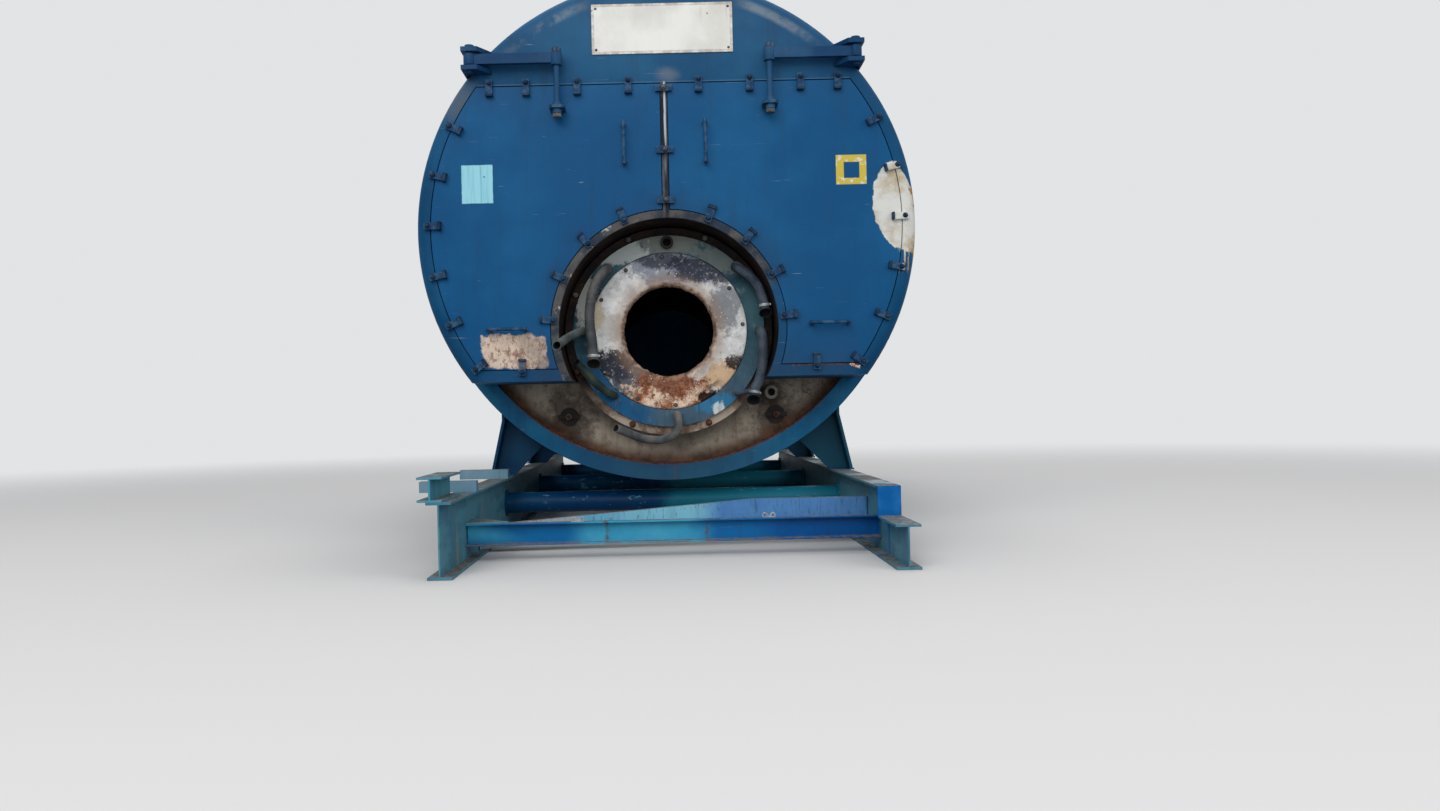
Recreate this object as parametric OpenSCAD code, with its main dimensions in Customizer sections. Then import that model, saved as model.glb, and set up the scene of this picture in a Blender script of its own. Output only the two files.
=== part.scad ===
// Industrial fire tube boiler on its own beam skid, in millimetres.
// X runs to the right as seen from the front, Y to the back, Z up.
// Modules are written with Y measured from the front end of the skid beams.
// The last translate puts the origin at the bottom centre of the whole part.

/* [Boiler drum] */
// Height of the jacket's lowest line above the bottom of the skid
drum_low = 285; // [270:1:330]
// Outside radius of the pressure shell
shell_r = 1219; // [1215:1:1224]
// Thickness of the pressure shell
shell_t = 14; // [10:1:20]
// Thickness of the lagging with its sheet
lagging_t = 76; // [50:1:100]
// Length of the pressure shell between the outer faces of the tube sheets
shell_l = 3830; // [3600:10:4200]
// Thickness of the tube sheets
sheet_t = 20; // [15:1:30]
// Distance of the flat ring's inner edge inside the shell's outside
ring_in = 14; // [8:1:14]
// Thickness of the ring plate
ring_t = 12; // [8:1:16]
// Distance from the ring face back to the front tube sheet
sheet_back = 70; // [50:5:90]

/* [Furnace] */
// Distance of the furnace centre line below the drum centre line
furnace_drop = 506; // [490:1:520]
// Thickness of the furnace tube
furnace_t = 14; // [10:1:20]
// Radius of the throat bore
throat_r = 232; // [200:2:260]
// Width of the refractory face
refractory_w = 178; // [160:2:190]
// Width of the painted steel ring round the refractory
burner_ring_w = 88; // [80:1:92]
// Width of the bolted flange outside that ring
flange_w = 43; // [38:1:46]
// Distance of the refractory face behind the door plane
throat_back = 230; // [200:5:260]

/* [Front smokebox] */
// Distance from the skid front to the door plane
door_y = 1085; // [1050:5:1120]
// Depth of the smokebox from the door plane to the ring
box_l = 445; // [420:5:500]
// Distance of the smokebox wall inside the jacket's outside
box_in = 40; // [25:1:60]
// Radius of the rounded rim at the front
rim_r = 60; // [45:1:62]
// Plate thickness of the smokebox
box_t = 12; // [8:1:16]
// Distance of the flat bottom edge below the furnace centre line
chord_below = 254; // [240:1:270]
// Height of the frame band over the flat bottom edge
chord_band = 57; // [50:1:64]
// Gap between the burner flange and the arch over it
arch_gap = 10; // [8:1:16]
// Width of the frame outside the door seam
frame_w = 73; // [66:1:80]
// Width of the frame band over the arch
arch_band = 38; // [35:1:42]
// Distance of the top door seam below the davit arms
seam_below = 114; // [105:1:130]
// Half the width of the middle post
mullion_w = 15; // [12:1:22]
// Thickness of the frame plates
frame_t = 20; // [18:1:26]
// Gap round a door leaf and behind it
leaf_gap = 5; // [4:0.5:6]
// Depth of the lining box behind a leaf
lining_t = 50; // [30:5:70]

/* [Door davits] */
// Distance of the hinge pins inside the smokebox wall
pin_in = 300; // [290:1:315]
// Length of a davit arm from pin to hanger rod
arm_l = 428; // [400:1:450]
// Distance of the hinge pins' centres outside the smokebox wall
pin_off = 13; // [8:1:20]
// Height of the arm bar
bar_h = 50; // [44:1:54]
// Distance of the hinge pins in front of the door plane
pin_out = 60; // [55:1:75]
// Diameter of the hinge pins
pin_d = 30; // [24:1:34]
// Width of the bare sign plate
sign_w = 705; // [600:5:720]
// Height of the bare sign plate
sign_h = 250; // [200:5:255]
// Diameter of the hanger rods
rod_d = 30; // [24:1:34]
// Distance of the leaf bracket below the top door seam
hang_below = 130; // [110:5:150]

/* [Skid] */
// Length of the skid beams
skid_l = 5080; // [5000:10:5200]
// Depth of the skid beams
beam_h = 312; // [300:1:320]
// Width of the beam flanges
beam_w = 102; // [96:1:110]
// Thickness of the beam flanges
beam_flange = 11; // [8:1:14]
// Thickness of the beam webs
beam_web = 7; // [5:1:10]
// Half the distance between the beam webs
beam_x = 940; // [930:1:950]
// Distance from the skid front to the first pair of legs
leg_y = 1780; // [1720:10:1850]
// Distance of the rear legs in front of the skid beams' back end
rear_leg_in = 100; // [80:10:200]
// Distance from the skid front to the straight channel
channel_y = 540; // [500:5:600]
// Height of the straight channel's underside
channel_z = 67; // [50:1:90]
// Height of the straight channel
channel_h = 101; // [90:1:110]
// Depth of both channels
channel_d = 40; // [36:1:44]
// Distance from the skid front to the bent channel
bent_y = 870; // [800:5:950]
// Height of the bent channel
bent_h = 115; // [100:1:120]
// Height of the bent channel's underside at its level end
bent_rise = 111; // [90:1:130]
// Height of the cross pipes' centre lines
cross_z = 160; // [130:1:170]
// Length of the stub beam on the left beam
stub_l = 400; // [350:5:450]
// Height and width of the stub beam
stub_h = 101; // [95:1:105]
// Width of the leg plates
leg_w = 217; // [200:1:230]
// Thickness of the leg plates
leg_t = 16; // [12:1:20]
// Outside diameter of the cross pipes
cross_d = 114; // [100:1:120]

/* [Rear end and fittings] */
// Depth of the rear smokebox behind the rear ring
rear_l = 400; // [350:10:450]
// Distance from the skid front to the manway
manway_y = 2600; // [2400:10:2800]
// Distance from the skid front to the safety nozzle
safety_y = 4300; // [4200:10:4400]
// Distance from the skid front to the steam nozzle
steam_y = 3500; // [3200:10:3800]
// Outside diameter of the steam nozzle pipe
steam_d = 219; // [200:1:230]
// Outside diameter of the flue outlet
flue_d = 330; // [300:5:340]

/* [Hidden] */
$fn = 96;
e = 0.01;
jacket_r = shell_r + lagging_t;
axis_h = drum_low + jacket_r;
leg_pitch = (skid_l - rear_leg_in - leg_y) / 2;
ring_r = shell_r - ring_in + 3;
box_r = jacket_r - box_in;
seam_r = box_r - frame_w;
refractory_r = throat_r + refractory_w;
burner_ring_r = refractory_r + burner_ring_w;
furnace_r = burner_ring_r + 2;
flange_r = burner_ring_r + flange_w;
stud_circle_r = flange_r - 19;
arch_r = flange_r + arch_gap;
seam_arch_r = arch_r + arch_band;
pin_x = box_r - pin_in;
rod_x = pin_x - arm_l;
arm_h = sqrt(pow(box_r + pin_off, 2) - pow(pin_x, 2));
seam_top = arm_h - seam_below;
hang_h = seam_top - hang_below;
chord_drop = furnace_drop + chord_below;
seam_bottom = chord_drop - chord_band;
ring_y = door_y + box_l;
sheet_y = ring_y + sheet_back;
shell_end = sheet_y + shell_l;
rear_ring_y = shell_end - ring_t;
rear_end = shell_end + rear_l;
cover_t = 16;
overall_l = rear_end + cover_t + 24;
furnace_z = axis_h - furnace_drop;
throat_y = door_y + throat_back;
arm_z = axis_h + arm_h;
pin_y = door_y - pin_out;
hang_z = axis_h + hang_h;
top_z = axis_h + jacket_r;
leaf_y = door_y;
leaf_t = frame_t - leaf_gap;
seat_y = door_y + frame_t;
dog_w = 34;
dog_t = 16;
lap_w = 50;
lap_t = 3;
man_r = 215;
safe_r = 45;
nozzle_t = 9;
steam_flange_r = 190;
steam_flange_t = 40;
steam_h = 160;
man_h = 90;
safe_h = 120;
fit = 0.4;
flange_y = throat_y + 20;
web_in = beam_x - beam_web / 2;
lip_r = 14;
throat_l = 60;
cone_l = 220;
notch_h = 130;
notch_l = 380;
flue_y = shell_end + rear_l / 2;

module at_front() {
  translate([0, -overall_l / 2, 0]) children();
}

// Extrudes a drawing in X and Z from one distance to another
module along(y0, y1) {
  translate([0, y1, 0]) rotate([90, 0, 0]) linear_extrude(height = y1 - y0) children();
}

module disc(r, y0, y1, z) {
  translate([0, y1, z]) rotate([90, 0, 0]) cylinder(r = r, h = y1 - y0, $fn = r > 600 ? 360 : $fn);
}

module tube(r_out, r_in, y0, y1, z) {
  difference() {
    disc(r_out, y0, y1, z);
    disc(r_in, y0 - 1, y1 + 1, z);
  }
}

module drum() {
  translate([0, axis_h]) children();
}

// Holes for the nozzles on top, with d added to each pipe's outside radius
module top_holes(d) {
  translate([0, steam_y, axis_h]) cylinder(r = steam_d / 2 + d, h = jacket_r + 10);
  translate([0, manway_y, axis_h]) cylinder(r = man_r + d, h = jacket_r + 10);
  translate([0, safety_y, axis_h]) cylinder(r = safe_r + d, h = jacket_r + 10);
}

module pressure_shell() {
  color("#7d7f80") difference() {
    tube(shell_r, shell_r - shell_t, ring_y + ring_t, shell_end - ring_t, axis_h);
    top_holes(-nozzle_t);
  }
}

// Raised laps where the sheets of the jacket meet
module jacket_laps() {
  for (y = [ring_y + ring_t + 30, (leg_y + manway_y) / 2, (manway_y + steam_y) / 2,
      (steam_y + safety_y) / 2, (safety_y + leg_y + 2 * leg_pitch) / 2, shell_end - ring_t - 30]) {
    tube(jacket_r + lap_t, jacket_r - 5, y - lap_w / 2, y + lap_w / 2, axis_h);
  }
}

module jacket() {
  color("#2f6fa5") difference() {
    union() {
      tube(jacket_r, shell_r, ring_y + ring_t, shell_end - ring_t, axis_h);
      jacket_laps();
    }
    top_holes(fit);
  }
}

module front_ring() {
  color("#2766a0") tube(jacket_r, ring_r - 3, ring_y, ring_y + ring_t, axis_h);
}

module rear_ring() {
  color("#2766a0") tube(jacket_r, shell_r - shell_t, rear_ring_y, shell_end, axis_h);
}

module front_tube_sheet() {
  color("#b9b3a6") difference() {
    disc(shell_r - shell_t, sheet_y, sheet_y + sheet_t, axis_h);
    disc(furnace_r, sheet_y - 1, sheet_y + sheet_t + 1, furnace_z);
  }
}

module rear_tube_sheet() {
  color("#b9b3a6") difference() {
    disc(shell_r - shell_t, shell_end - sheet_t, shell_end, axis_h);
    disc(furnace_r, shell_end - sheet_t - 1, shell_end + 1, furnace_z);
  }
}

module furnace_tube() {
  color("#6d6a66") tube(furnace_r, furnace_r - furnace_t, flange_y + 14, shell_end, furnace_z);
}

module burner_flange() {
  color("#6b4a3a") difference() {
    disc(flange_r, flange_y, flange_y + 14, furnace_z);
    disc(burner_ring_r, flange_y - 1, flange_y + 15, furnace_z);
    for (k = [0 : 7]) {
      rotate_hole(22.5 + 45 * k, stud_circle_r, 9, flange_y - 1, flange_y + 15);
    }
  }
}

module rotate_hole(a, r, hole_r, y0, y1) {
  translate([r * cos(a), 0, r * sin(a)]) disc(hole_r, y0, y1, furnace_z);
}

module burner_ring() {
  color("#1f5f96") difference() {
    disc(burner_ring_r, throat_y, flange_y + 14, furnace_z);
    disc(refractory_r, throat_y - 1, flange_y + 15, furnace_z);
    rotate_hole(90, (burner_ring_r + refractory_r) / 2 + 6, 22, throat_y - 1, flange_y + 15);
  }
}

module throat_refractory() {
  color("#d8d4c8") translate([0, throat_y, furnace_z]) rotate([-90, 0, 0]) rotate_extrude()
    polygon([[throat_r + lip_r, 0], [refractory_r, 0], [refractory_r, cone_l],
      [throat_r + cone_l / 2, cone_l], [throat_r, throat_l], [throat_r, lip_r]]);
}

// Region inside the smokebox wall, with inset d
module box_area(d) {
  difference() {
    intersection() {
      drum() circle(r = box_r - d, $fn = 360);
      translate([-box_r, axis_h - chord_drop + d]) square([2 * box_r, 2 * box_r + chord_drop]);
    }
    translate([0, furnace_z]) circle(r = arch_r + d, $fn = 180);
  }
}

module box_wall() {
  difference() {
    box_area(0);
    box_area(box_t);
  }
}

module smokebox_wrapper() {
  color("#1d5c93") union() {
    along(door_y + rim_r, ring_y) box_wall();
    along(ring_y - e, sheet_y) intersection() {
      box_wall();
      drum() circle(r = ring_r - 10, $fn = 360);
    }
  }
}

// Opening for one leaf in the right half, seam grown inward by g
module leaf_area(g) {
  difference() {
    intersection() {
      drum() circle(r = seam_r - g, $fn = 360);
      translate([mullion_w + g, axis_h - seam_bottom + g])
        square([seam_r, seam_bottom + seam_top - 2 * g]);
    }
    translate([0, furnace_z]) circle(r = seam_arch_r + g, $fn = 180);
  }
}

module both_leaf_areas(g) {
  leaf_area(g);
  mirror([1, 0]) leaf_area(g);
}

// Front plate with its rounded rim, as a round body
module rim_body() {
  translate([0, door_y, axis_h]) rotate([-90, 0, 0]) rotate_extrude($fn = 360) difference() {
    union() {
      square([box_r - rim_r, rim_r]);
      translate([box_r - rim_r, 0]) intersection() {
        translate([0, rim_r]) circle(r = rim_r, $fn = 96);
        square([rim_r, rim_r]);
      }
    }
    translate([-1, frame_t]) square([box_r - rim_r + 1, rim_r]);
    translate([box_r - rim_r, 0]) intersection() {
      translate([0, rim_r]) circle(r = rim_r - frame_t, $fn = 96);
      translate([-1, 0]) square([rim_r + 1, rim_r + 1]);
    }
  }
}

module smokebox_frame() {
  color("#2a6aa0") difference() {
    union() {
      intersection() {
        rim_body();
        along(door_y - 1, door_y + rim_r + 1) difference() {
          translate([-box_r - 10, axis_h - chord_drop]) square([2 * box_r + 20, 2 * box_r]);
          translate([0, furnace_z]) circle(r = arch_r, $fn = 180);
        }
      }
      along(seat_y - e, seat_y + 14) difference() {
        intersection() {
          box_area(0);
          drum() circle(r = box_r - rim_r - 5, $fn = 360);
        }
        both_leaf_areas(30);
      }
      along(seat_y - e, door_y + rim_r) intersection() {
        box_wall();
        drum() circle(r = box_r - 15, $fn = 360);
      }
    }
    along(door_y - 1, seat_y) both_leaf_areas(0);
  }
}

module sign_plate() {
  color("#e3e0d6") along(door_y - 6, door_y)
    translate([-sign_w / 2, axis_h + box_r - 390]) square([sign_w, sign_h]);
}

module leaf() {
  union() {
    along(leaf_y, leaf_y + leaf_t) leaf_area(leaf_gap);
    along(leaf_y + leaf_t - e, leaf_y + leaf_t + lining_t) leaf_area(66);
    dogs();
    handles();
    leaf_bracket();
  }
}

// Clamp dog over the seam at x and z, its free end pointing along angle a
module dog(x, z, a, back = 52, free = 28) {
  translate([x, leaf_y, z]) rotate([0, -a, 0]) translate([-back, 0, -dog_w / 2]) union() {
    translate([0, -leaf_gap - dog_t, 0]) cube([back + free, dog_t, dog_w]);
    translate([0, -leaf_gap - e, 0]) cube([back - leaf_gap - 3, leaf_gap + 2 * e, dog_w]);
  }
}

module dogs() {
  top_half = sqrt(pow(seam_r, 2) - pow(seam_top, 2));
  low_half = sqrt(pow(seam_r, 2) - pow(seam_bottom, 2));
  low_a = -asin(seam_bottom / seam_r);
  turn = asin(seam_top / seam_r) - low_a;
  arch_top = seam_arch_r - furnace_drop;
  for (share = [0.187, 0.459, 0.731, 0.928]) {
    dog(share * top_half, axis_h + seam_top, 90);
  }
  for (k = [0 : 5]) {
    a = low_a + (0.01 + k / 6) * turn;
    dog(seam_r * cos(a), axis_h + seam_r * sin(a), a);
  }
  dog(0.774 * low_half, axis_h - seam_bottom, -90);
  for (a = [21.3 : 21.3 : 85.2]) {
    dog(seam_arch_r * sin(a), furnace_z + seam_arch_r * cos(a), -90 - a);
  }
  for (share = [0.074, 0.469, 0.953]) {
    z = arch_top + share * (seam_top - arch_top);
    dog(mullion_w, axis_h + z, 180, 27, mullion_w - 4);
  }
}

module handles() {
  handle(203, axis_h + 415, 215, 90);
  handle(805, axis_h - 500, 200, 0);
}

module handle(x, z, l, a) {
  translate([x, leaf_y, z]) rotate([0, -a, 0]) union() {
    translate([-l / 2, -50, 0]) rotate([0, 90, 0]) cylinder(r = 9, h = l);
    for (s = [-1, 1]) {
      translate([s * (l / 2 - 10), e, 0]) rotate([90, 0, 0]) cylinder(r = 8, h = 50);
      translate([s * (l / 2 - 10), e, 0]) rotate([90, 0, 0]) cylinder(r = 15, h = 6);
    }
  }
}

// Plate with clipped corners that the hanger rod passes through, over a small gusset
module leaf_bracket() {
  front = pin_y - 34;
  union() {
    difference() {
      translate([rod_x, 0, hang_z - 8]) linear_extrude(height = 16)
        polygon([[-38, leaf_y + e], [-38, front + 16], [-24, front], [24, front], [38, front + 16],
          [38, leaf_y + e]]);
      translate([rod_x, pin_y, hang_z - 9]) cylinder(d = rod_d + 2, h = 18);
    }
    translate([rod_x - 5, leaf_y - 26, hang_z - 34]) cube([10, 26 + e, 28]);
  }
}

module right_leaf() {
  color("#0e5180") leaf();
}

module left_leaf() {
  color("#0e5180") mirror([1, 0, 0]) leaf();
}

module hanger_rod() {
  union() {
    translate([rod_x, pin_y, hang_z - 36]) cylinder(d = rod_d, h = arm_z - hang_z + 90);
    translate([rod_x, pin_y, hang_z - 30]) cylinder(d = rod_d + 16, h = 20);
    translate([rod_x, pin_y, hang_z + 10]) cylinder(d = rod_d + 14, h = 14);
    translate([rod_x, pin_y, arm_z + 30]) cylinder(d = rod_d + 18, h = 18);
  }
}

module right_hanger_rod() {
  color("#59534b") hanger_rod();
}

module left_hanger_rod() {
  color("#59534b") mirror([1, 0, 0]) hanger_rod();
}

module davit_arm() {
  difference() {
    union() {
      translate([rod_x, pin_y - 16, arm_z - bar_h / 2]) cube([pin_x - rod_x, 32, bar_h]);
      translate([pin_x, pin_y, arm_z - 27]) cylinder(d = 60, h = 54);
      translate([rod_x, pin_y, arm_z - 36]) cylinder(d = rod_d + 26, h = 63);
    }
    translate([pin_x, pin_y, arm_z - 40]) cylinder(d = pin_d + 2, h = 80);
    translate([rod_x, pin_y, arm_z - 40]) cylinder(d = rod_d + 2, h = 80);
  }
}

module right_davit_arm() {
  color("#17578c") davit_arm();
}

module left_davit_arm() {
  color("#17578c") mirror([1, 0, 0]) davit_arm();
}

// Outline of a hinge lug seen from above, from its tip back along the smokebox wall
module lug_outline() {
  back = door_y + rim_r + 60;
  polygon([[pin_x - 42, pin_y - 38], [pin_x + 38, pin_y - 38], [pin_x + 38, back - 30],
    [pin_x + 8, back], [pin_x - 120, back], [pin_x - 120, door_y + 30]]);
}

// Two lugs with a web between them, welded outside the smokebox wall, and the pin
module davit_bracket() {
  union() {
    difference() {
      union() {
        for (z = [arm_z + 34, arm_z - 56]) {
          translate([0, 0, z]) linear_extrude(height = 22) lug_outline();
        }
        translate([pin_x - 90, door_y + rim_r + 20, arm_z - 55]) cube([98, 16, 100]);
      }
      disc(box_r, door_y, ring_y, axis_h);
    }
    translate([pin_x, pin_y, arm_z - 66]) cylinder(d = pin_d, h = 134);
    translate([pin_x, pin_y, arm_z + 55]) cylinder(d = 46, h = 16);
  }
}

module right_davit_bracket() {
  color("#17578c") davit_bracket();
}

module left_davit_bracket() {
  color("#17578c") mirror([1, 0, 0]) davit_bracket();
}

// Round bar from point p to point q
module rod_between(p, q, r) {
  d = q - p;
  l = norm(d);
  translate(p) rotate([0, acos(d[2] / l), atan2(d[1], d[0])]) cylinder(r = r, h = l);
}

// Point at distance d back from the last point of a list
function back_from_end(pts, d) =
  let(n = len(pts), v = pts[n - 2] - pts[n - 1]) pts[n - 1] + d * v / norm(v);

// Pipe through a list of points, open at its last end, with a collar there
module pipe_run(pts, r, collar_r, bore_r, collar_l) {
  n = len(pts);
  difference() {
    union() {
      for (i = [0 : n - 2]) {
        rod_between(pts[i], pts[i + 1], r);
      }
      for (i = [1 : n - 2]) {
        translate(pts[i]) sphere(r = r + 1, $fn = 48);
      }
      rod_between(back_from_end(pts, collar_l), pts[n - 1], collar_r);
    }
    rod_between(back_from_end(pts, collar_l - 12), back_from_end(pts, -5), bore_r);
    rod_between(back_from_end(pts, collar_l + 30), back_from_end(pts, 0), r - 5);
  }
}

// Points of the pipe ends count from the middle of the throat's face
module at_throat() {
  translate([0, throat_y, furnace_z]) children();
}

module upper_left_pipe() {
  color("#2c6d8f") at_throat() pipe_run([[-310, 0, 326], [-310, -70, 326], [-358, -110, 261],
    [-394, -120, 169], [-402, -125, 66], [-392, -131, -48], [-384, -139, -191]], 26, 36, 31, 50);
}

module left_branch_pipe() {
  color("#2c6d8f") at_throat() pipe_run([[-440, 0, 6], [-440, -65, 6], [-511, -185, -37],
    [-550, -385, -89]], 22, 23, 17, 20);
}

module lower_left_pipe() {
  color("#3c7a70") at_throat() pipe_run([[-292, 0, -328], [-292, -53, -328], [-338, -69, -300],
    [-404, -83, -241], [-486, -93, -148]], 22, 23, 17, 20);
}

module lower_middle_pipe() {
  color("#5d6a70") at_throat() pipe_run([[35, 0, -438], [35, -80, -438], [34, -93, -522],
    [-52, -99, -564], [-160, -107, -550], [-293, -120, -492]], 22, 24, 17, 20);
}

module upper_right_pipe() {
  color("#2c6d8f") at_throat() pipe_run([[354, 0, 324], [354, -65, 324], [420, -90, 268],
    [475, -100, 197], [492, -105, 116], [500, -105, 53]], 24, 36, 31, 50);
}

module lower_right_pipe() {
  color("#2c6d8f") at_throat() union() {
    pipe_run([[472, 0, -8], [472, -65, -8], [484, -87, -66], [483, -90, -158],
      [458, -93, -249], [436, -100, -311], [422, -110, -391]], 25, 37, 31, 50);
    rod_between([345, 0, -332], [345, -75, -332], 13);
    translate([345, -75, -332]) sphere(r = 14, $fn = 48);
    rod_between([345, -75, -332], [432, -93, -322], 13);
  }
}

module front_nipple() {
  color("#8a8f90") tube_at((shell_r - 225) * sin(33), axis_h - (shell_r - 225) * cos(33),
    36, 20, sheet_y - 150, sheet_y);
}

module tube_at(x, z, r_out, r_in, y0, y1) {
  translate([x, 0, 0]) tube(r_out, r_in, y0, y1, z);
}

// Handhole at a distance inside the shell's outside and an angle from straight down
module handhole(inside, a) {
  x = (shell_r - inside) * sin(a);
  z = axis_h - (shell_r - inside) * cos(a);
  union() {
    translate([x, 0, 0]) disc(50, sheet_y - 16, sheet_y, z);
    translate([x - 60, sheet_y - 40, z - 12]) cube([120, 14, 24]);
    translate([x, 0, 0]) disc(10, sheet_y - 66, sheet_y - 15, z);
  }
}

module left_handhole() {
  color("#6f4636") handhole(126, -30.4);
}

module right_handhole() {
  color("#6f4636") handhole(107, 31.1);
}

module beam_section() {
  union() {
    translate([-beam_w / 2, 0]) square([beam_w, beam_flange]);
    translate([-beam_w / 2, beam_h - beam_flange]) square([beam_w, beam_flange]);
    translate([-beam_web / 2, beam_flange - e]) square([beam_web, beam_h - 2 * beam_flange + 2 * e]);
  }
}

module left_beam() {
  color("#27648f") translate([-beam_x, 0, 0]) along(0, skid_l) beam_section();
}

module right_beam() {
  color("#27648f") translate([beam_x, 0, 0]) union() {
    difference() {
      along(0, skid_l) beam_section();
      translate([-beam_w, -1, beam_h - notch_h]) cube([2 * beam_w, notch_l + 1, notch_h + 1]);
    }
    translate([-beam_w / 2, 0, beam_h - notch_h - 10]) cube([beam_w, notch_l, 10]);
    translate([-beam_w / 2, notch_l - 10, beam_h - notch_h - 10]) cube([beam_w, 10, notch_h + 10]);
  }
}

// Channel between the beams with its toes to the front
module front_channel() {
  color("#22a3b5") translate([-web_in, channel_y, channel_z]) union() {
    translate([0, channel_d - 5, 0]) cube([2 * web_in, 5, channel_h]);
    for (z = [0, channel_h - 8]) {
      translate([0, 0, z]) cube([2 * web_in, channel_d - 4, 8]);
    }
  }
}

// Strip of the bent channel between two heights above its lower edge
module bent_strip(z0, z1) {
  bend = web_in * 0.41;
  polygon([[-web_in, beam_flange + z0], [bend, bent_rise + z0], [web_in, bent_rise + z0],
    [web_in, bent_rise + z1], [bend, bent_rise + z1], [-web_in, beam_flange + z1]]);
}

module bent_channel() {
  color("#8fb7d4") union() {
    along(bent_y, bent_y + 7) bent_strip(0, bent_h);
    along(bent_y + 6, bent_y + channel_d + 2) bent_strip(0, 8);
    along(bent_y + 6, bent_y + channel_d + 2) bent_strip(bent_h - 8, bent_h);
  }
}

module cross_pipe(y) {
  collar_r = cross_d / 2 + 18;
  color("#2a7f92") translate([-web_in, y, cross_z]) rotate([0, 90, 0]) difference() {
    union() {
      cylinder(d = cross_d, h = 2 * web_in);
      cylinder(r = collar_r, h = 12);
      translate([0, 0, 2 * web_in - 12]) cylinder(r = collar_r, h = 12);
    }
    translate([0, 0, -1]) cylinder(d = cross_d - 12, h = 2 * web_in + 2);
  }
}

module front_cross_pipe() {
  cross_pipe(leg_y);
}

module middle_cross_pipe() {
  cross_pipe(leg_y + leg_pitch);
}

module rear_cross_pipe() {
  cross_pipe(leg_y + 2 * leg_pitch);
}

// Leg on the right side, with a web plate across and a flange plate along
module leg(y) {
  knee_z = axis_h - sqrt(pow(jacket_r, 2) - pow(beam_x, 2)) - 69;
  top = knee_z + 140;
  foot = beam_w / 2;
  color("#1f5f96") difference() {
    union() {
      along(y - leg_t / 2, y + leg_t / 2)
        polygon([[beam_x - foot - 2, beam_h], [beam_x + foot, beam_h], [beam_x - 10, knee_z],
          [beam_x - 10, top], [beam_x - leg_w, top], [beam_x - leg_w, knee_z - 143]]);
      along(y - leg_w / 2, y + leg_w / 2)
        polygon([[beam_x + foot - 1, beam_h], [beam_x + foot + leg_t - 1, beam_h],
          [beam_x - 20 + leg_t, knee_z + 2], [beam_x - 20 + leg_t, top], [beam_x - 20, top],
          [beam_x - 20, knee_z]]);
    }
    disc(jacket_r, y - leg_w, y + leg_w, axis_h);
  }
}

module front_right_leg() {
  leg(leg_y);
}

module front_left_leg() {
  mirror([1, 0, 0]) leg(leg_y);
}

module middle_right_leg() {
  leg(leg_y + leg_pitch);
}

module middle_left_leg() {
  mirror([1, 0, 0]) leg(leg_y + leg_pitch);
}

module rear_right_leg() {
  leg(leg_y + 2 * leg_pitch);
}

module rear_left_leg() {
  mirror([1, 0, 0]) leg(leg_y + 2 * leg_pitch);
}

module stub_beam() {
  color("#35a0b8") translate([-beam_x - 35, 0, beam_h]) along(0, stub_l) union() {
    translate([-stub_h / 2, 0]) square([stub_h, 9]);
    translate([-stub_h / 2, stub_h - 9]) square([stub_h, 9]);
    translate([-4, 8]) square([8, stub_h - 16]);
  }
}

module outrigger_bar(y) {
  color("#5f8fae") translate([-beam_x - 205, y, beam_h]) cube([260, 50, 50]);
}

module front_outrigger_bar() {
  outrigger_bar(channel_y + 20);
}

module rear_outrigger_bar() {
  outrigger_bar(leg_y - 270);
}

module rear_smokebox() {
  color("#1d5c93") difference() {
    tube(box_r, box_r - box_t, shell_end, rear_end, axis_h);
    translate([0, flue_y, axis_h]) cylinder(d = flue_d - 16, h = 2 * box_r);
  }
}

module rear_cover() {
  color("#2565a0") union() {
    disc(box_r, rear_end, rear_end + cover_t, axis_h);
    for (a = [-1, 1]) {
      translate([a * box_r / 3 - 100, rear_end + cover_t - 1, axis_h - 12]) cube([200, 25, 24]);
    }
  }
}

module nozzle(y, pipe_r, flange_ro, flange_th, h) {
  difference() {
    union() {
      translate([0, y, axis_h + shell_r - 40]) cylinder(r = pipe_r, h = lagging_t + 40 + h);
      translate([0, y, top_z + h - flange_th]) cylinder(r = flange_ro, h = flange_th);
    }
    disc(shell_r, y - flange_ro - 1, y + flange_ro + 1, axis_h);
    translate([0, y, axis_h]) cylinder(r = pipe_r - nozzle_t, h = jacket_r + h + 1);
  }
}

module steam_nozzle() {
  color("#2565a0") difference() {
    nozzle(steam_y, steam_d / 2, steam_flange_r, steam_flange_t, steam_h);
    for (a = [15 : 30 : 345]) {
      translate([0, steam_y, top_z + steam_h - steam_flange_t - 10]) rotate([0, 0, a])
        translate([steam_flange_r - 25, 0, 0]) cylinder(r = 12.5, h = steam_flange_t + 20);
    }
  }
}

module manway() {
  color("#2565a0") nozzle(manway_y, man_r, man_r + 45, 30, man_h);
}

module manway_cover() {
  color("#2565a0") translate([0, manway_y, top_z + man_h]) union() {
    cylinder(r = man_r + 40, h = 24);
    for (s = [-1, 1]) {
      translate([s * 90 - 6, -9, 23]) cube([12, 18, 46]);
    }
    translate([-96, -9, 60]) cube([192, 18, 12]);
  }
}

module safety_nozzle() {
  color("#2565a0") nozzle(safety_y, safe_r, safe_r + 50, 24, safe_h);
}

module flue_outlet() {
  color("#1d5c93") difference() {
    union() {
      translate([0, flue_y, axis_h + box_r - 120]) cylinder(d = flue_d, h = 220);
      translate([0, flue_y, axis_h + box_r + 88]) cylinder(d = flue_d + 60, h = 12);
    }
    disc(box_r, shell_end - 100, shell_end + 500, axis_h);
    translate([0, flue_y, axis_h]) cylinder(d = flue_d - 16, h = 2 * box_r);
  }
}

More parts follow.
